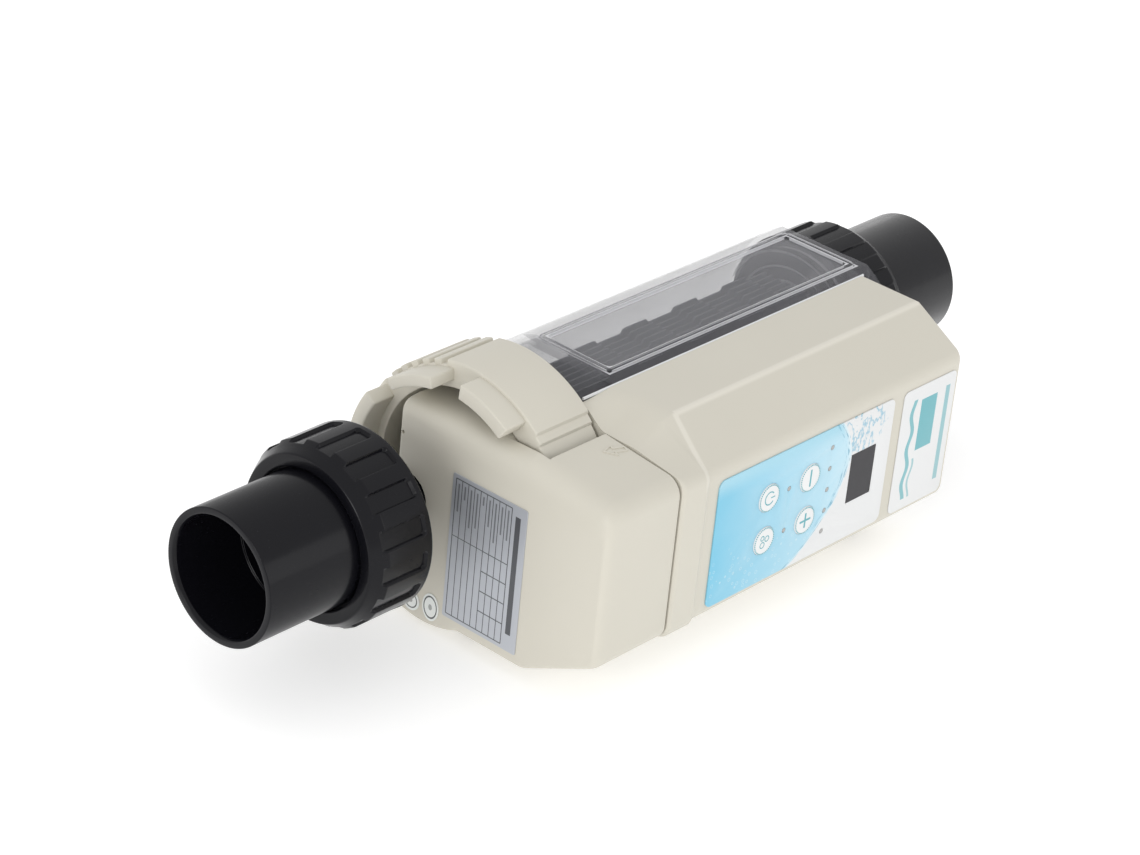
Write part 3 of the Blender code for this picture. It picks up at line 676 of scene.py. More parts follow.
arch = [(-41.0 + 3.5 * ((y - BARREL_Y) / 30.0) ** 2, y) for y in range(-73, 49, 5)]
beyond = [(FAR_WALL + 8.0, 47.0), (FAR_WALL + 8.0, -73.0)]
cell = prism("clear_cell", disc(CELL_R, BARREL, 160), CELL_START, FAR_WALL)
carve(cell, prism("above_window", arch + beyond, CELL_TOP, CELL_TOP + 20.0, "Z"))
shelf_outline = [
    (-42.0, SHELF_Y),
    (FAR_WALL - 6.0, SHELF_Y),
    (FAR_WALL - 0.5, SHELF_Y + 6.5),
    (FAR_WALL - 0.5, -25.0),
    (-42.0, -25.0),
]
port_profile = [
    (FAR_WALL - 2.0, 19.0),
    (FAR_WALL - 2.0, 36.8),
    (PORT_END, 36.8),
    (PORT_END, 19.0),
]
rim_outline = box_outline(*WINDOW, 4.0)
rim = prism("window_rim", rim_outline, CELL_TOP - 1.0, CELL_TOP + 0.9, "Z")
carve(
    cell,
    prism("shelf", shelf_outline, 30.0, CELL_TOP - 0.1, "Z"),
    turned("port", port_profile, count=128),
    rim,
    operation="UNION",
)
roof = CELL_TOP - 3.4
chord = math.degrees(math.asin(roof / CELL_BORE))
recess_outline = box_outline(-33.0, 129.5, -33.0, 3.5, 3.0)
chamber_outline = arc(*BARREL, CELL_BORE, 180 - chord, 360 + chord, 128)
carve(
    cell,
    prism("recess", recess_outline, CELL_TOP - 0.4, CELL_TOP + 2.0, "Z"),
    prism("chamber", chamber_outline, CELL_START - 1.0, FAR_WALL - 4.0),
    prism("throat", disc(CELL_BORE - 0.05, BARREL, 160), CELL_START - 1.0, -38.5),
    prism("outlet", disc(21.0, count=96), FAR_WALL - 6.0, PORT_END + 1.0),
)
soften(cell, 0.6, 3, 30)
finished(cell, "body", clear.material, "clear_plastic", "clear_cell_body")

# %% [markdown]
# A thin pale strip lies between the shelf and the cream box. It is a painted highlight: it stands
# for the light line that runs along the window's lower side.

# %% Painted highlight strip along the shelf
# Painted highlight: a pale strip that stands for the light line along the window's lower edge.
edge_highlight_strip = prism(
    "shelf_gasket",
    box_outline(SHELF_Y - 0.75, SHELF_Y + 0.1, 45.65, 46.9, 0.25, 3),
    -62.5,
    FAR_WALL - 11.5,
)
finished(edge_highlight_strip, "body", edge_highlight_grey.material, "seal_rubber")

# %% [markdown]
# ## The electrode cap
#
# The cap plugs the cell behind the ring. It is one black moulding: a thread for the inlet
# union, a cone that narrows to a leaning neck, a wide flange that the ring presses on, and
# a plug with a groove for the seal. Lofts suit it, because the neck is off the axis.

# %% Electrode cap
NECK, NECK_R, NECK_BORE, CAP_BORE = (8.0, -7.0), 11.2, 9.0, 21.0
thread = []
for i in range(34):
    crest = 36.8 if i % 4 in (1, 2) else 36.0
    thread.append((-162.0 + 0.65 * i, disc(crest if 0 < i < 33 else 36.2, count=96)))
cap = loft(
    "black_electrode_cap",
    thread
    + [
        (-136.0, disc(31.8, (0.5, -0.5), 96)),
        (-128.0, disc(21.0, (4.0, -3.5), 96)),
        (-120.0, disc(NECK_R, NECK, 96)),
        (-84.0, disc(NECK_R, NECK, 96)),
    ],
)
plug_profile = [
    (-85.7, 51.5, 0.8),
    (-80.0, 51.5, 0.6),
    (-80.0, 47.5, 0.4),
    (-76.5, 47.5, 0.3),
    (-76.5, 44.8, 0.3),
    (-72.5, 44.8, 0.3),
    (-72.5, 47.5, 0.3),
    (-68.0, 47.5, 0.6),
]
edge_line = eased(plug_profile)
plug = turned("plug", [(-85.7, 1.0), *edge_line[1:-1], (-68.0, 1.0)], BARREL, 144)
carve(cap, plug, operation="UNION")
bore = [(x, disc(CAP_BORE, count=64)) for x in (-163.0, -138.0)]
bore += [(x, disc(NECK_BORE, NECK, 64)) for x in (-122.0, -60.0)]
carve(cap, loft("bore", bore))
shaded(cap, 32)
finished(cap, "body", pvc.material, "black_pvc", "electrode_cap")

# %% [markdown]
# ## The locking ring
#
# The ring holds the electrode cap. A wide smooth band runs over its top and steps down
# before it dives into the end cover. The radius of its section follows a simple rule of
# the angle, so it is turned with that rule. Ribs and teeth repeat, so Geometry Nodes sets
# them round the ring.

# %% Ring body
RING_FRONT, RING_BACK = -98.0, -66.0
RING_BASE, RING_BAND, LUG_INSIDE = 56.6, 59.0, 50.5


def step_at(turn, start, end, edge=0.5):
    """1 between two angles, with a short slope at both ends."""
    up = min(max((turn - start) / edge, 0.0), 1.0)
    down = min(max((end - turn) / edge, 0.0), 1.0)
    return min(up, down)


def ring_radius(x, radius, turn):
    if radius < RING_BASE - 1.0:
        return radius
    band = (RING_BAND - RING_BASE) * step_at(turn, 76.0, 131.4)
    ledge = 1.2 * step_at(turn, 130.9, 135.8)
    return radius + max(band, ledge)


ring_profile = [
    (RING_FRONT, 46.9, 0.5),
    (RING_FRONT, RING_BASE, 0.9),
    (RING_BACK, RING_BASE, 0.7),
    (RING_BACK, 52.5, 0.4),
    (RING_FRONT + 12.0, 52.5, 0.4),
    (RING_FRONT + 12.0, 46.4, 0.4),
]
ring_loop = eased(ring_profile)
ring = turned("ring_band_body", ring_loop, BARREL, 720, ring_radius, sharp=28)


def lug(name, start, end, radius, reach, count=32):
    """A block between two angles that stands forward of the ring, over the cover."""
    outer = arc(*BARREL, radius, start, end, count)
    inner = arc(*BARREL, LUG_INSIDE, end, start, count)
    return soften(prism(name, outer + inner, RING_FRONT - reach, RING_FRONT + 2), 0.9, 3)


lugs = [
    lug("upper_lug", 52, 80, 56.0, 14.0),
    lug("front_lug", 95, 124, 57.6, 12.0),
    lug("back_lug", -6, 34, 57.2, 12.0, 40),
]

# %% Ribs and teeth round the ring


def round_the_ring(name, block, count, first, pitch):
    """Copies a block about the barrel's axis, count times."""
    tree = Tree(name, Count=count, First=first, Pitch=pitch)
    own_place = {"transform_space": "ORIGINAL"}
    info = tree.add("GeometryNodeObjectInfo", own_place, {0: block}, out="Geometry")
    on_the_spot = {"Count": tree["Count"], "Offset": (0.0, 0.0, 0.0)}
    points = tree.add("GeometryNodeMeshLine", {"mode": "OFFSET"}, on_the_spot)
    number = tree.add("GeometryNodeInputIndex")
    turn = (tree["First"] + number * tree["Pitch"]) * (math.pi / 180.0)
    centre = (0.0, (PIPE.y + BARREL_Y) * MM, PIPE.z * MM)
    moved = tree.add("GeometryNodeSetPosition", {}, {0: points, 3: centre})
    sockets = {0: moved, 2: info, 5: tree.vector(turn)}
    spots = tree.add("GeometryNodeInstanceOnPoints", {}, sockets)
    made = tree.grow(spots, cream.material)
    bpy.data.objects.remove(block, do_unlink=True)
    return made


def radial_block(name, width, radius):
    """A block, width degrees wide, on the +Y side of an axis through the origin."""
    half = width / 2
    outer = arc(0.0, 0.0, radius, -half, half, 8)
    inner = arc(0.0, 0.0, 55.0, half, -half, 8)
    block = soften(prism(name, outer + inner, RING_FRONT + 0.1, RING_BACK - 0.1), 0.8, 3)
    block.data.transform(Matrix.Translation(-PIPE * MM))
    return block


RIB_PITCH, TOOTH_PITCH = 7.2, 12.0
rib = radial_block("rib", 4.2, 58.8)
ribs = round_the_ring("ring_ribs", rib, 5, 70.6 - 4 * RIB_PITCH, RIB_PITCH)
tooth = radial_block("tooth", 7.0, 59.0)
teeth = round_the_ring("ring_teeth", tooth, 4, -4.5, TOOTH_PITCH)
for part in [ring, *lugs]:
    part.data.materials.append(cream.material)
ring = joined("cream_locking_ring", [ring, ribs, teeth, *lugs])
finished(ring, "locking_ring", cream.material, "beige_plastic", "locking_ring")

# %% [markdown]
# ## The end cover
#
# The end cover is one moulding whose section changes along the pipe: its near edge rounds
# over, more on the side of the panel than at the back. A loft through many sections gives
# that, and the openings for the ring and the inlet neck are cut from it.

# %% End cover
COVER_FACE, SEAM = -109.0, -64.5
FRONT, BOTTOM, WALL = -104.0, -59.5, 2.6
BELLY = (-5.0, -16.0, 48.2)


def belly(radius, start, end, count):
    return [(u, v, 0.0) for u, v in arc(BELLY[0], BELLY[1], radius, start, end, count)]


def belly_start(radius, bottom):
    return -math.degrees(math.pi - math.asin((BELLY[1] - bottom) / radius))


def cover_section(drop=0.0, inset=0.0):
    radius = BELLY[2] - inset
    back = 15.5 - inset
    last = -math.degrees(math.acos((back - BELLY[0]) / radius))
    return rounded(
        [
            (back, 37.0 - inset - 0.35 * drop, 3.0),
            (-56.0, 38.8 - inset - drop, 12.0),
            (FRONT + inset, 34.0 - inset - drop, 8.5 - inset * 0.6),
            (FRONT + inset, -40.0 + inset * 0.4, 7.0 - inset * 0.5),
            (-64.0 + inset * 0.3, BOTTOM + inset, 8.0),
        ]
        + belly(radius, belly_start(radius, BOTTOM + inset), last, 40)
    )


ROLL_DEPTH, ROLL_DROP, ROLL_INSET, ROLL_STEPS = 12.0, 10.5, 3.0, 12


def cover_sections():
    """The near edge rolls over, further down from the top than in from the sides."""
    sections = []
    for i in range(ROLL_STEPS + 1):
        lift = math.radians(90 * i / ROLL_STEPS)
        depth = ROLL_DEPTH * (1 - math.cos(lift)) if i else 0.0
        drop = ROLL_DROP * (1 - math.sin(lift)) ** 1.15
        inset = ROLL_INSET * (1 - math.sin(min(lift * 1.6, math.pi / 2)))
        sections.append((COVER_FACE + depth, cover_section(drop, inset)))
    for back, inset in ((2.2, 0.0), (1.3, 0.2), (0.8, 0.7)):
        sections.append((SEAM - back, cover_section(0.0, inset)))
    return sections


cover = loft("cream_end_cover", cover_sections(), sharp=30)


ARROW_TIP, ARROW_TAIL = Vector((-77.0, -70.6)), Vector((-67.4, -74.2))


def arrow(grow):
    """An arrow head and shaft that point towards the inlet, grown or shrunk all round."""
    along = (ARROW_TIP - ARROW_TAIL).normalized()
    side = Vector((-along.y, along.x))
    neck = ARROW_TIP - along * 4.6
    head, shaft, back = 3.4 + grow * 1.8, 1.3 + grow, along * grow
    points = [ARROW_TIP + along * grow * 1.4, neck + side * head - back, neck + side * shaft - back]
    points += [ARROW_TAIL + side * shaft - back, ARROW_TAIL - side * shaft - back]
    points += [neck - side * shaft - back, neck - side * head - back]
    return [tuple(point) for point in points]


raised = loft("raised_skin", cover_sections())
raised.data.transform(Matrix.Translation((0.0, 0.0, 0.45 * MM)))
carve(raised, prism("around", arrow(0.35), 30.0, 50.0, "Z"), operation="INTERSECT")
carve(raised, prism("inside", arrow(-0.35), 29.0, 51.0, "Z"))
carve(cover, raised, operation="UNION")
hollow = [
    (COVER_FACE + WALL, cover_section(8.0, 4.2)),
    (COVER_FACE + 10.6, cover_section(0.6, WALL)),
    (SEAM + 1.0, cover_section(0.0, WALL)),
]
slot_profile = [(-100.0, 46.1), (-100.0, 61.8), (SEAM + 1.0, 61.8), (SEAM + 1.0, 46.1)]
NOTCH_R = 11.8
notch = [(40.0, NECK[1] + NOTCH_R), *arc(*NECK, NOTCH_R, 90, 270, 40), (40.0, NECK[1] - NOTCH_R)]
carve(
    cover,
    loft("hollow", hollow),
    prism("neck_notch", notch, COVER_FACE - 1, SEAM + 1),
    turned("ring_slot", slot_profile, BARREL, 160),
    prism("cap_room", disc(52.0, BARREL, 128), -86.5, SEAM + 1.0),
    prism("pin_hole", disc(0.9, (12.3, 21.8), 24), COVER_FACE - 1, COVER_FACE + 1.6),
)
shaded(cover, 30)
finished(cover, "body", cream.material, "beige_plastic", "end_cover")

# %% [markdown]
# ## The control housing
#
# The housing rises from a proud band at the seam to a flat top that breaks along a crease.
# It is lofted like the cover. The cradle for the cell, the bay for the electronics and the
# openings of the panel are cut from it.

# %% Control housing
HOUSING_END, TOP, SHOULDER_Y = 127.0, 46.6, -77.0
RAMP, RAMP_STEPS, SEAM_TOP, EDGE_R = 23.5, 47, 38.6, 3.0


def blend(a, b, t):
    """From a at 0 to b at 1, with a smooth start and end."""
    t = min(max(t, 0.0), 1.0)
    t = t * t * (3 - 2 * t)
    return a + (b - a) * t


def housing_section(
    inset=0.0,
    top=TOP,
    shoulder=TOP,
    front_top=30.5,
    front=FRONT,
    bottom=BOTTOM,
    soft=1.8,
    heel_up=0.0,
):
    """One outline: the top slopes from the shoulder to the heel, where heel_up lifts it."""
    radius = BELLY[2] - inset - (bottom - BOTTOM)
    heel = []
    for y in [BELLY[0] + radius, 0.0, -30.0, *range(-44, -68, -2)]:
        along = (y - SHOULDER_Y) / (BELLY[0] + radius - SHOULDER_Y)
        hump = blend(0, heel_up, (y + 60.5) / 14.5)
        heel.append((y, shoulder + (top - shoulder) * along + hump - inset, 0.0))
    return rounded(
        [
            *heel,
            (SHOULDER_Y, shoulder - inset, soft),
            (front + inset, front_top, 6.0),
            (front + inset, -40.0 + inset * 0.4 + bottom - BOTTOM, 7.0 - inset * 0.5),
            (-64.0 + inset * 0.3, bottom + inset, 8.0),
        ]
        + belly(radius, belly_start(radius, bottom + inset), 0.0, 44)
    )


def housing_sections():
    """Seam, proud band, ramp and body, then the rounded far edge."""
    sections = []
    for i in range(RAMP_STEPS + 1):
        x = SEAM + RAMP * i / RAMP_STEPS
        block = blend(0, 1, (x + 50.0) / 3.2)
        proud = 1.3 * min(1.0, ((x - SEAM) / 1.4) ** 0.6) * (1 - block)
        lift = blend(0, 1, (x - SEAM) / RAMP)
        values = {
            "top": SEAM_TOP + (TOP - SEAM_TOP) * lift,
            "shoulder": 37.2 + (TOP - 37.2) * lift,
            "front_top": 33.0 - 2.5 * lift,
            "front": FRONT + 0.2 * (1 - lift) - proud,
            "bottom": BOTTOM - 0.7 * proud,
            "soft": 12.0 - 10.2 * block,
            "heel_up": 7.6 * (1 - lift),
        }
        sections.append((x, housing_section(**values)))
    edge = HOUSING_END - EDGE_R
    sections.append((edge, housing_section()))
    for i in range(1, 9):
        lean = math.radians(90 * i / 8)
        section = housing_section(2.4 * (1 - math.cos(lean)))
        sections.append((edge + EDGE_R * math.sin(lean), section))
    return sections


housing = loft("cream_control_housing", housing_sections(), sharp=30)
shelf_edge = SHELF_Y - 0.8
opening = [(60.0, 60.0), (shelf_edge, 60.0), (shelf_edge, 29.0)]
opening += [(-20.0, 29.0), (-20.0, -5.0), (60.0, -5.0)]
CRADLE_R = CELL_R + 0.6
bay = [(-76.0, TOP - WALL), (FRONT + WALL, 29.0), (FRONT + WALL, -38.8)]
bay += [(-63.2, BOTTOM + WALL), (-50.0, BOTTOM + WALL)]
bay += arc(*BARREL, CRADLE_R + WALL, 231, 138, 24) + [(-56.0, TOP - WALL)]
carve(
    housing,
    prism("cradle", disc(CRADLE_R, BARREL, 160), SEAM - 1, HOUSING_END + 1),
    prism("top_opening", opening, SEAM - 1, HOUSING_END + 1),
    prism("bay", bay, -39.0, HOUSING_END - 2.8),
)

# %% Openings of the panel
BUTTONS = {name: centre_mm(f"{name}_button") for name in ("power", "boost", "minus", "plus")}
LEDS = [centre_mm(f"led_guide_{i}") for i in range(1, 8)]


def holes(piece, start, end, key_r, key_sides, led_r, led_sides, glass_edge):
    """Cuts the holes of the keys, of the light guides and of the display along Y."""
    for spot in BUTTONS.values():
        carve(piece, prism("hole", disc(key_r, (spot.x, spot.z), key_sides), start, end, "Y"))
    for spot in LEDS:
        carve(piece, prism("hole", disc(led_r, (spot.x, spot.z), led_sides), start, end, "Y"))
    low, high = span_mm("display_window")
    grow = glass_edge
    outline = box_outline(low.x - grow, high.x + grow, low.z - grow, high.z + grow)
    carve(piece, prism("hole", outline, start, end, "Y"))


holes(housing, FRONT - 3, FRONT + WALL + 2, 7.1, 48, 1.4, 16, -1)
shaded(housing, 30)
finished(housing, "body", cream.material, "beige_plastic", "control_housing")

# %% [markdown]
# ## The printed panel
#
# The overlay is one printed film. Its picture is plain water: a blue that pales towards a
# curved waterline, and a splash above it. The print is drawn by shader maths on the place
# of each point, in millimetres, so it needs no picture file.

# %% Panel print
TEAL, PAPER = (0.145, 0.430, 0.475), (0.74, 0.745, 0.745)
print_ink = Finish("water_print_film", (0.9, 0.9, 0.9), 0.3, Specular_IOR_Level=0.4)
x, y, z = print_ink.xyz()
swell = print_ink.noise(0.06, 2.0) - 0.5
from_crest = (z - 6.0) / 28.0
depth = 50.0 - from_crest * from_crest * 15.5 - x + swell * 5.0
along_film = (x + 40.5) * (1 / 96.0) + swell * 0.2
deep = print_ink.mix(along_film, (0.20, 0.54, 0.72), (0.53, 0.73, 0.82))
water = print_ink.mix((z - 24.0).do("ABSOLUTE").ramp(0.0, 9.0), (0.37, 0.64, 0.76), deep)
body_of_water = print_ink.mix(depth.ramp(0.0, 3.2), (0.68, 0.78, 0.82), water)
ripples = print_ink.add("ShaderNodeCombineXYZ", {}, {0: depth * 0.55, 1: z * 0.11})
sockets = {"Vector": ripples, "Scale": 1.6, "Detail": 3.0}
streaks = print_ink.add("ShaderNodeTexNoise", {}, sockets)
streaks = streaks.ramp(0.53, 0.62) * (depth - 1.6).do("ABSOLUTE").ramp(4.2, 1.0)
inked = print_ink.mix(streaks * 0.8, body_of_water, (0.10, 0.34, 0.48))
spray = print_ink.noise(0.20, 4.0, stretch=(1.0, 1.0, 0.55))
du, dv = x - 57.0, z - 17.0
bounds = du * du * (1 / 300.0) + dv * dv * (1 / 180.0)
plume = (1.0 - bounds).do("MAXIMUM", 0.0) * depth.do("LESS_THAN", 0.0)
strokes = (spray - 0.50).do("ABSOLUTE").ramp(0.055, 0.0) * plume.ramp(0.0, 0.4)
sockets = {"Vector": print_ink.place(), "Scale": 0.28}
drops = print_ink.add("ShaderNodeTexVoronoi", {"feature": "F1"}, sockets)
droplets = drops.ramp(0.19, 0.13) * (1.5 - bounds).ramp(0.0, 1.2) * depth.do("LESS_THAN", 1.0)
bubbles = (drops - 0.22).do("ABSOLUTE").ramp(0.05, 0.01) * (z + 12.0).ramp(8.0, -14.0) * 0.35
splash = (strokes + droplets * 0.7).do("MINIMUM", 1.0) * 0.8
paper = print_ink.mix(splash, PAPER, (0.20, 0.46, 0.60))
under = print_ink.mix(bubbles, inked, (0.80, 0.85, 0.86))
print_ink.set("Base Color", print_ink.mix(depth.ramp(0.0, 0.6), paper, under))
print_ink.set("Roughness", 0.26 + print_ink.noise(0.5) * 0.08)
print("panel print ready")

# %% Overlay film
low, high = span_mm("control_overlay")
film_outline = box_outline(low.x, high.x, low.z, high.z, 3.5)
film = prism("printed_panel_film", film_outline, low.y, high.y, "Y")
holes(film, low.y - 2, high.y + 2, 6.78, 64, 1.25, 20, 0.1)
soften(film, 0.12, 2, 40)
finished(film, "body", print_ink.material, "overlay_film", "control_overlay")

# %% [markdown]
# Each key is a white disc with a ring of teal dots and a thin sign: power, bubbles, minus
# and plus. The dots repeat, so Geometry Nodes sets them round the rim; the signs are thin
# raised strokes. The panel is read with the pipe upright, so "up" on it is along +X.

# %% Key finishes
key_white = Finish("white_key", (0.78, 0.785, 0.785), 0.35)
key_white.set("Roughness", 0.3 + key_white.noise(0.8) * 0.1)
ink = Finish("teal_ink", TEAL, 0.4)
ink.set("Roughness", 0.36 + ink.noise(1.5) * 0.1)
ink.set("Base Color", ink.mix(ink.noise(0.6), (0.10, 0.36, 0.41), (0.13, 0.42, 0.47)))


def dotted_rim(name, spot, face):
    tree = Tree(name, Count=40, Radius=6.15, Dot=0.33)
    size = tree["Dot"] * MM
    upright = (math.pi / 2, 0.0, 0.0)
    shape = {"Vertices": 8, "Radius": size, "Depth": 0.12 * MM}
    dot = tree.add("GeometryNodeMeshCylinder", {}, shape)
    lay = tree.add("GeometryNodeTransform", {}, {0: dot, 2: upright})
    shape = {"Vertices": tree["Count"], "Radius": tree["Radius"] * MM}
    circle = tree.add("GeometryNodeMeshCircle", {}, shape)
    centre = tuple(Vector((spot.x, face, spot.z)) * MM + PIPE * MM)
    points = tree.add("GeometryNodeTransform", {}, {0: circle, 1: centre, 2: upright})
    dots = tree.add("GeometryNodeInstanceOnPoints", {}, {0: points, 2: lay})
    return tree.grow(dots, ink.material)


def stroke(name, outline, face):
    made = prism(name, outline, face - 0.06, face + 0.06, "Y")
    made.data.materials.append(ink.material)
    return made


def washer(name, spot, radius, width, face, start=0.0, end=360.0):
    outer = arc(spot[0], spot[1], radius, start, end - 0.5, 40)
    inner = arc(spot[0], spot[1], radius - width, end - 0.5, start, 40)
    return stroke(name, outer + inner, face)


def sign(kind, x, z, face):
    """The strokes of one key's sign, centred at (x, z)."""
    bars = {"minus": [(0.5, 4.2)], "plus": [(0.5, 3.7), (3.7, 0.5)]}.get(kind, [])
    made = []
    for i, (a, b) in enumerate(bars):
        outline = box_outline(x - a, x + a, z - b, z + b, 0.3)
        made.append(stroke("bar", outline, face - 0.01 * i))
    if kind == "power":
        made.append(washer("power_ring", (x, z), 3.3, 0.55, face, 38, 322))
        made.append(stroke("tick", box_outline(x + 0.8, x + 3.5, z - 0.26, z + 0.26, 0.2), face))
    if kind == "boost":
        for du, dv, radius in ((1.6, 0.7, 1.5), (-1.5, 1.7, 1.3), (-1.2, -1.7, 1.6)):
            made.append(washer("bubble", (x + du, z + dv), radius, 0.42, face))
    return made


# %% Keys
KEY_SIDES = 96
for name, spot in BUTTONS.items():
    low, high = span_mm(f"{name}_button")
    face = low.y
    key_profile = [(face, 6.1), (face + 0.12, 6.45), (face + 0.45, 6.68), (high.y, 6.7)]
    bm = bmesh.new()
    rings = []
    for at, radius in key_profile:
        outline = disc(radius, (spot.x, spot.z), KEY_SIDES)
        rings.append([bm.verts.new((u, at, v)) for u, v in outline])
    bm.faces.new(rings[0])
    bm.faces.new(rings[-1][::-1])
    for a, b in zip(rings, rings[1:]):
        for i in range(KEY_SIDES):
            j = (i + 1) % KEY_SIDES
            bm.faces.new([a[i], b[i], b[j], a[j]])
    key = to_mesh(bm, f"{name}_key", sharp=30)
    key.data.materials.append(key_white.material)
    extras = [dotted_rim(f"{name}_dots", spot, face), *sign(name, spot.x, spot.z, face)]
    key = joined(f"{name}_touch_key", [key, *extras])
    finished(key, f"{name}_button", None, "button_white", f"{name}_button")

# %% [markdown]
# The name plate and the rating label carry no words here. Plain bars stand for the lines
# of print, at the sizes and tints that such labels have.

# %% Name-plate print
low, high = span_mm("name_plate_blank")
plate_ink = Finish("name_plate_film", (0.85, 0.86, 0.86), 0.3)
x, y, z = plate_ink.xyz()
u, v = x - low.x, z - low.z
tall, wide = high.z - low.z, high.x - low.x
bars = u.within(wide * 0.82, wide * 0.90) * v.within(tall * 0.12, tall * 0.90)
block = u.within(wide * 0.36, wide * 0.66) * v.within(tall * 0.46, tall * 0.88)
wave = (v * 0.36).do("SINE") * 1.1 + wide * 0.22
swash = u.near(wave, 1.3) * v.within(tall * 0.08, tall * 0.9)
ripple = (u - 4.0).near(wave, 0.7) * v.within(tall * 0.08, tall * 0.40)
mark = (bars * 0.8 + block + swash * 0.9 + ripple * 0.7).do("MINIMUM", 1.0)
plate_ink.set("Base Color", plate_ink.mix(mark, PAPER, TEAL))
plate_ink.set("Roughness", 0.28 + plate_ink.noise(0.5) * 0.08)
plate_outline = box_outline(low.x, high.x, low.z, high.z, 3.0)
plate = prism("blank_name_plate", plate_outline, low.y, high.y, "Y")
soften(plate, 0.12, 2, 40)
finished(plate, "body", plate_ink.material, "label_white", "name_plate_blank")

# %% Rating-label print
low, high = span_mm("rating_plate")
label = Finish("silver_label_film", (0.48, 0.50, 0.53), 0.35, Metallic=0.35)
x, y, z = label.xyz()
u, v = high.y - y, high.z - z
WIDE, TALL = high.y - low.y, high.z - low.z
MARGIN, TITLE_BAND, ROWS, LINE = 2.0, 8.5, 9, 0.25
inside_u, inside_v = u.within(MARGIN, WIDE - TITLE_BAND), v.within(MARGIN, TALL - MARGIN)
row = (WIDE - MARGIN - TITLE_BAND) / ROWS
in_row = (u - MARGIN) / row
lines = (in_row.do("FRACT") - 0.5).do("ABSOLUTE").do("GREATER_THAN", 0.5 - 0.22 / row)
halfway = TALL * 0.42
in_column = ((v - halfway) / (TALL * 0.138)).do("FRACT")
columns = (in_column - 0.5).do("ABSOLUTE").do("GREATER_THAN", 0.5 - 0.028)
columns = columns * v.within(halfway, TALL - MARGIN)
columns = columns * u.within(MARGIN + row * 5, MARGIN + row * ROWS)
sides = (u.near(MARGIN, LINE) + u.near(WIDE - TITLE_BAND, LINE)) * inside_v
ends = (v.near(MARGIN, LINE) + v.near(TALL - MARGIN, LINE)) * inside_u
split = v.near(halfway, 0.2) * inside_u
seed = {"W": in_row.do("FLOOR")}
ragged = label.add("ShaderNodeTexWhiteNoise", {"noise_dimensions": "1D"}, seed)
bars = in_row.do("FRACT").within(0.38, 0.62) * inside_u * v.within(4.0, 8.0 + ragged * 16.0)
title = u.within(WIDE - 6.3, WIDE - 3.4) * v.within(5.0, TALL - 8.0)
grid = (lines * inside_u * inside_v + split + columns + sides + ends).do("MINIMUM", 1.0)
black = (grid * 0.8 + bars * 0.6 + title * 0.85).do("MINIMUM", 1.0)
label.set("Base Color", label.mix(black, (0.50, 0.52, 0.56), (0.03, 0.03, 0.035)))
label.set("Roughness", 0.32 + label.noise(2.0, stretch=(1.0, 0.1, 1.0)) * 0.12)
label_outline = box_outline(low.y, high.y, low.z, high.z, 1.0)
sheet = prism("blank_rating_label", label_outline, low.x, high.x)
soften(sheet, 0.1, 1, 40)
finished(sheet, "body", label.material, "label_silver", "rating_plate")


# %% Small round stickers
def sticker(node, name, ring_at):
    low, high = span_mm(node)
    made_of = Finish(f"{name}_film", (0.80, 0.82, 0.80), 0.4)
    x, y, z = made_of.xyz()
    middle, half = (low + high) / 2, (high - low) / 2
    away = (((y - middle.y) / half.y) ** 2.0 + ((z - middle.z) / half.z) ** 2.0) ** 0.5
    ink_ring = away.within(ring_at, ring_at + 0.12) + away.do("LESS_THAN", 0.22) * 0.6
    made_of.set("Base Color", made_of.mix(ink_ring, (0.80, 0.82, 0.80), (0.08, 0.09, 0.09)))
    made_of.set("Roughness", 0.35 + made_of.noise(1.0) * 0.1)
    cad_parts[node].data.materials.clear()
    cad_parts[node].data.materials.append(made_of.material)


sticker("inspection_sticker", "oval_sticker", 0.72)
sticker("conformity_sticker", "round_sticker", 0.66)

# %% [markdown]
# ## The pieces inside
#
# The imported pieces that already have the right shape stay. They only get their finishes.

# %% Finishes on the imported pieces


def dress(surface, *names):
    for name in names:
        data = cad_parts[name].data
        data.materials.clear()
        data.materials.append(surface)
        data.shade_smooth()
        data.set_sharp_from_angle(angle=math.radians(30))


dress(blade.material, *[f"anode_plate_{i}" for i in range(1, 5)])
dress(blade.material, *[f"cathode_plate_{i}" for i in range(1, 4)])
dress(rubber.material, "electrode_cap_o_ring")
dress(moulded_black.material, "electrode_head_block", "electrode_foot_block")
dress(moulded_black.material, "electrode_spacer_comb", "flow_sensor_pin")
dress(gold.material, "anode_terminal", "cathode_terminal")
dress(smoked.material, "display_window")
dress(laminate.material, "main_circuit_board")
dress(core_iron.material, "power_transformer")
dress(relay_case.material, "polarity_relay")
dress(terminal_case.material, "terminal_block")
dress(moulded_black.material, "display_module", "reservoir_capacitor", "dc_inlet_socket")
dress(moulded_black.material, *[f"{name}_switch" for name in BUTTONS])
dress(lens_grey.material, *[f"led_guide_{i}" for i in range(1, 8)])

# %% [markdown]
# ## Studio
#
# A white floor and a white world give the even, nearly shadowless light of a catalogue
# table. The floor gives off a little light of its own, which keeps the shadow faint. Two
# soft lamps, one beside the panel and one beside the inlet, light the sides.

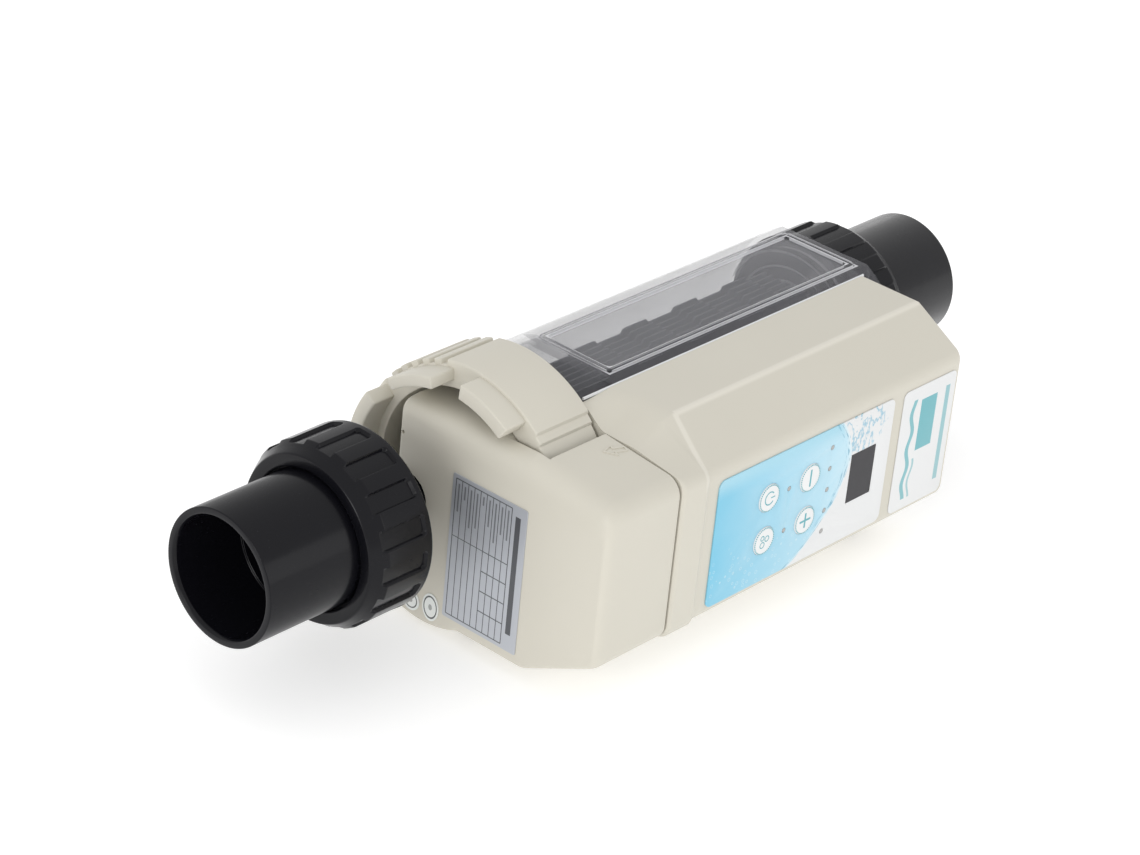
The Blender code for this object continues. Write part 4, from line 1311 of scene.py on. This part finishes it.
# %% Floor and light
WHITE = (1.0, 1.0, 1.0, 1.0)
FLOOR_HALF, FLOOR_GAP = 12.0, 0.0004  # metres
bm = bmesh.new()
bmesh.ops.create_grid(bm, x_segments=1, y_segments=1, size=FLOOR_HALF)
floor_mesh = bpy.data.meshes.new("studio_floor")
bm.to_mesh(floor_mesh)
bm.free()
floor = linked("studio_floor", floor_mesh)
floor.location.z = cad_box[0][2] - FLOOR_GAP
glow = {"Emission_Color": WHITE, "Emission_Strength": 0.32}
paper_floor = Finish("white_floor", (0.92, 0.92, 0.92), 0.9, **glow)
paper_floor.set("Roughness", 0.85 + paper_floor.noise(0.01) * 0.05)
floor.data.materials.append(paper_floor.material)

world = bpy.data.worlds.new("studio")
bpy.context.scene.world = world
world.use_nodes = True
sky = world.node_tree.nodes["Background"]
sky.inputs["Color"].default_value = WHITE
sky.inputs["Strength"].default_value = 0.90


def softbox(name, location, target, size, power):
    light = bpy.data.lights.new(name, "AREA")
    light.shape = "SQUARE"
    light.size = size
    light.energy = power
    lamp = linked(name, light)
    lamp.location = location
    away = Vector(location) - Vector(target)
    lamp.rotation_euler = away.to_track_quat("Z", "Y").to_euler()


softbox("beside_panel", (0.5, -1.6, 0.55), (0.0, 0.0, 0.06), 0.9, 2.2)
softbox("beside_inlet", (-1.6, -0.3, 0.6), (-0.1, 0.0, 0.06), 0.6, 5.0)
bpy.context.scene.view_settings.view_transform = "Standard"

# %% Camera
CAMERA_AT = Vector((-1081.4, -883.4, 747.3))  # millimetres from the pipe's axis
turn, lift, roll = (math.radians(angle) for angle in (-50.36, 28.453, 5.797))
flat = math.cos(lift)
back = Vector((math.sin(turn) * flat, -math.cos(turn) * flat, math.sin(lift)))
level = Vector((0, 0, 1)).cross(back).normalized()
over = back.cross(level)
right = level * math.cos(roll) + over * math.sin(roll)
up = over * math.cos(roll) - level * math.sin(roll)
matrix = Matrix((right, up, back)).transposed().to_4x4()
matrix.translation = (CAMERA_AT + PIPE) * MM
camera = linked("camera", bpy.data.cameras.new("camera"))
camera.data.lens = 113.45
camera.data.sensor_width = 36.0
camera.matrix_world = matrix
bpy.context.scene.camera = camera

# %% [markdown]
# Last, the view layer is updated.

# %% Update the view layer
bpy.context.view_layer.update()
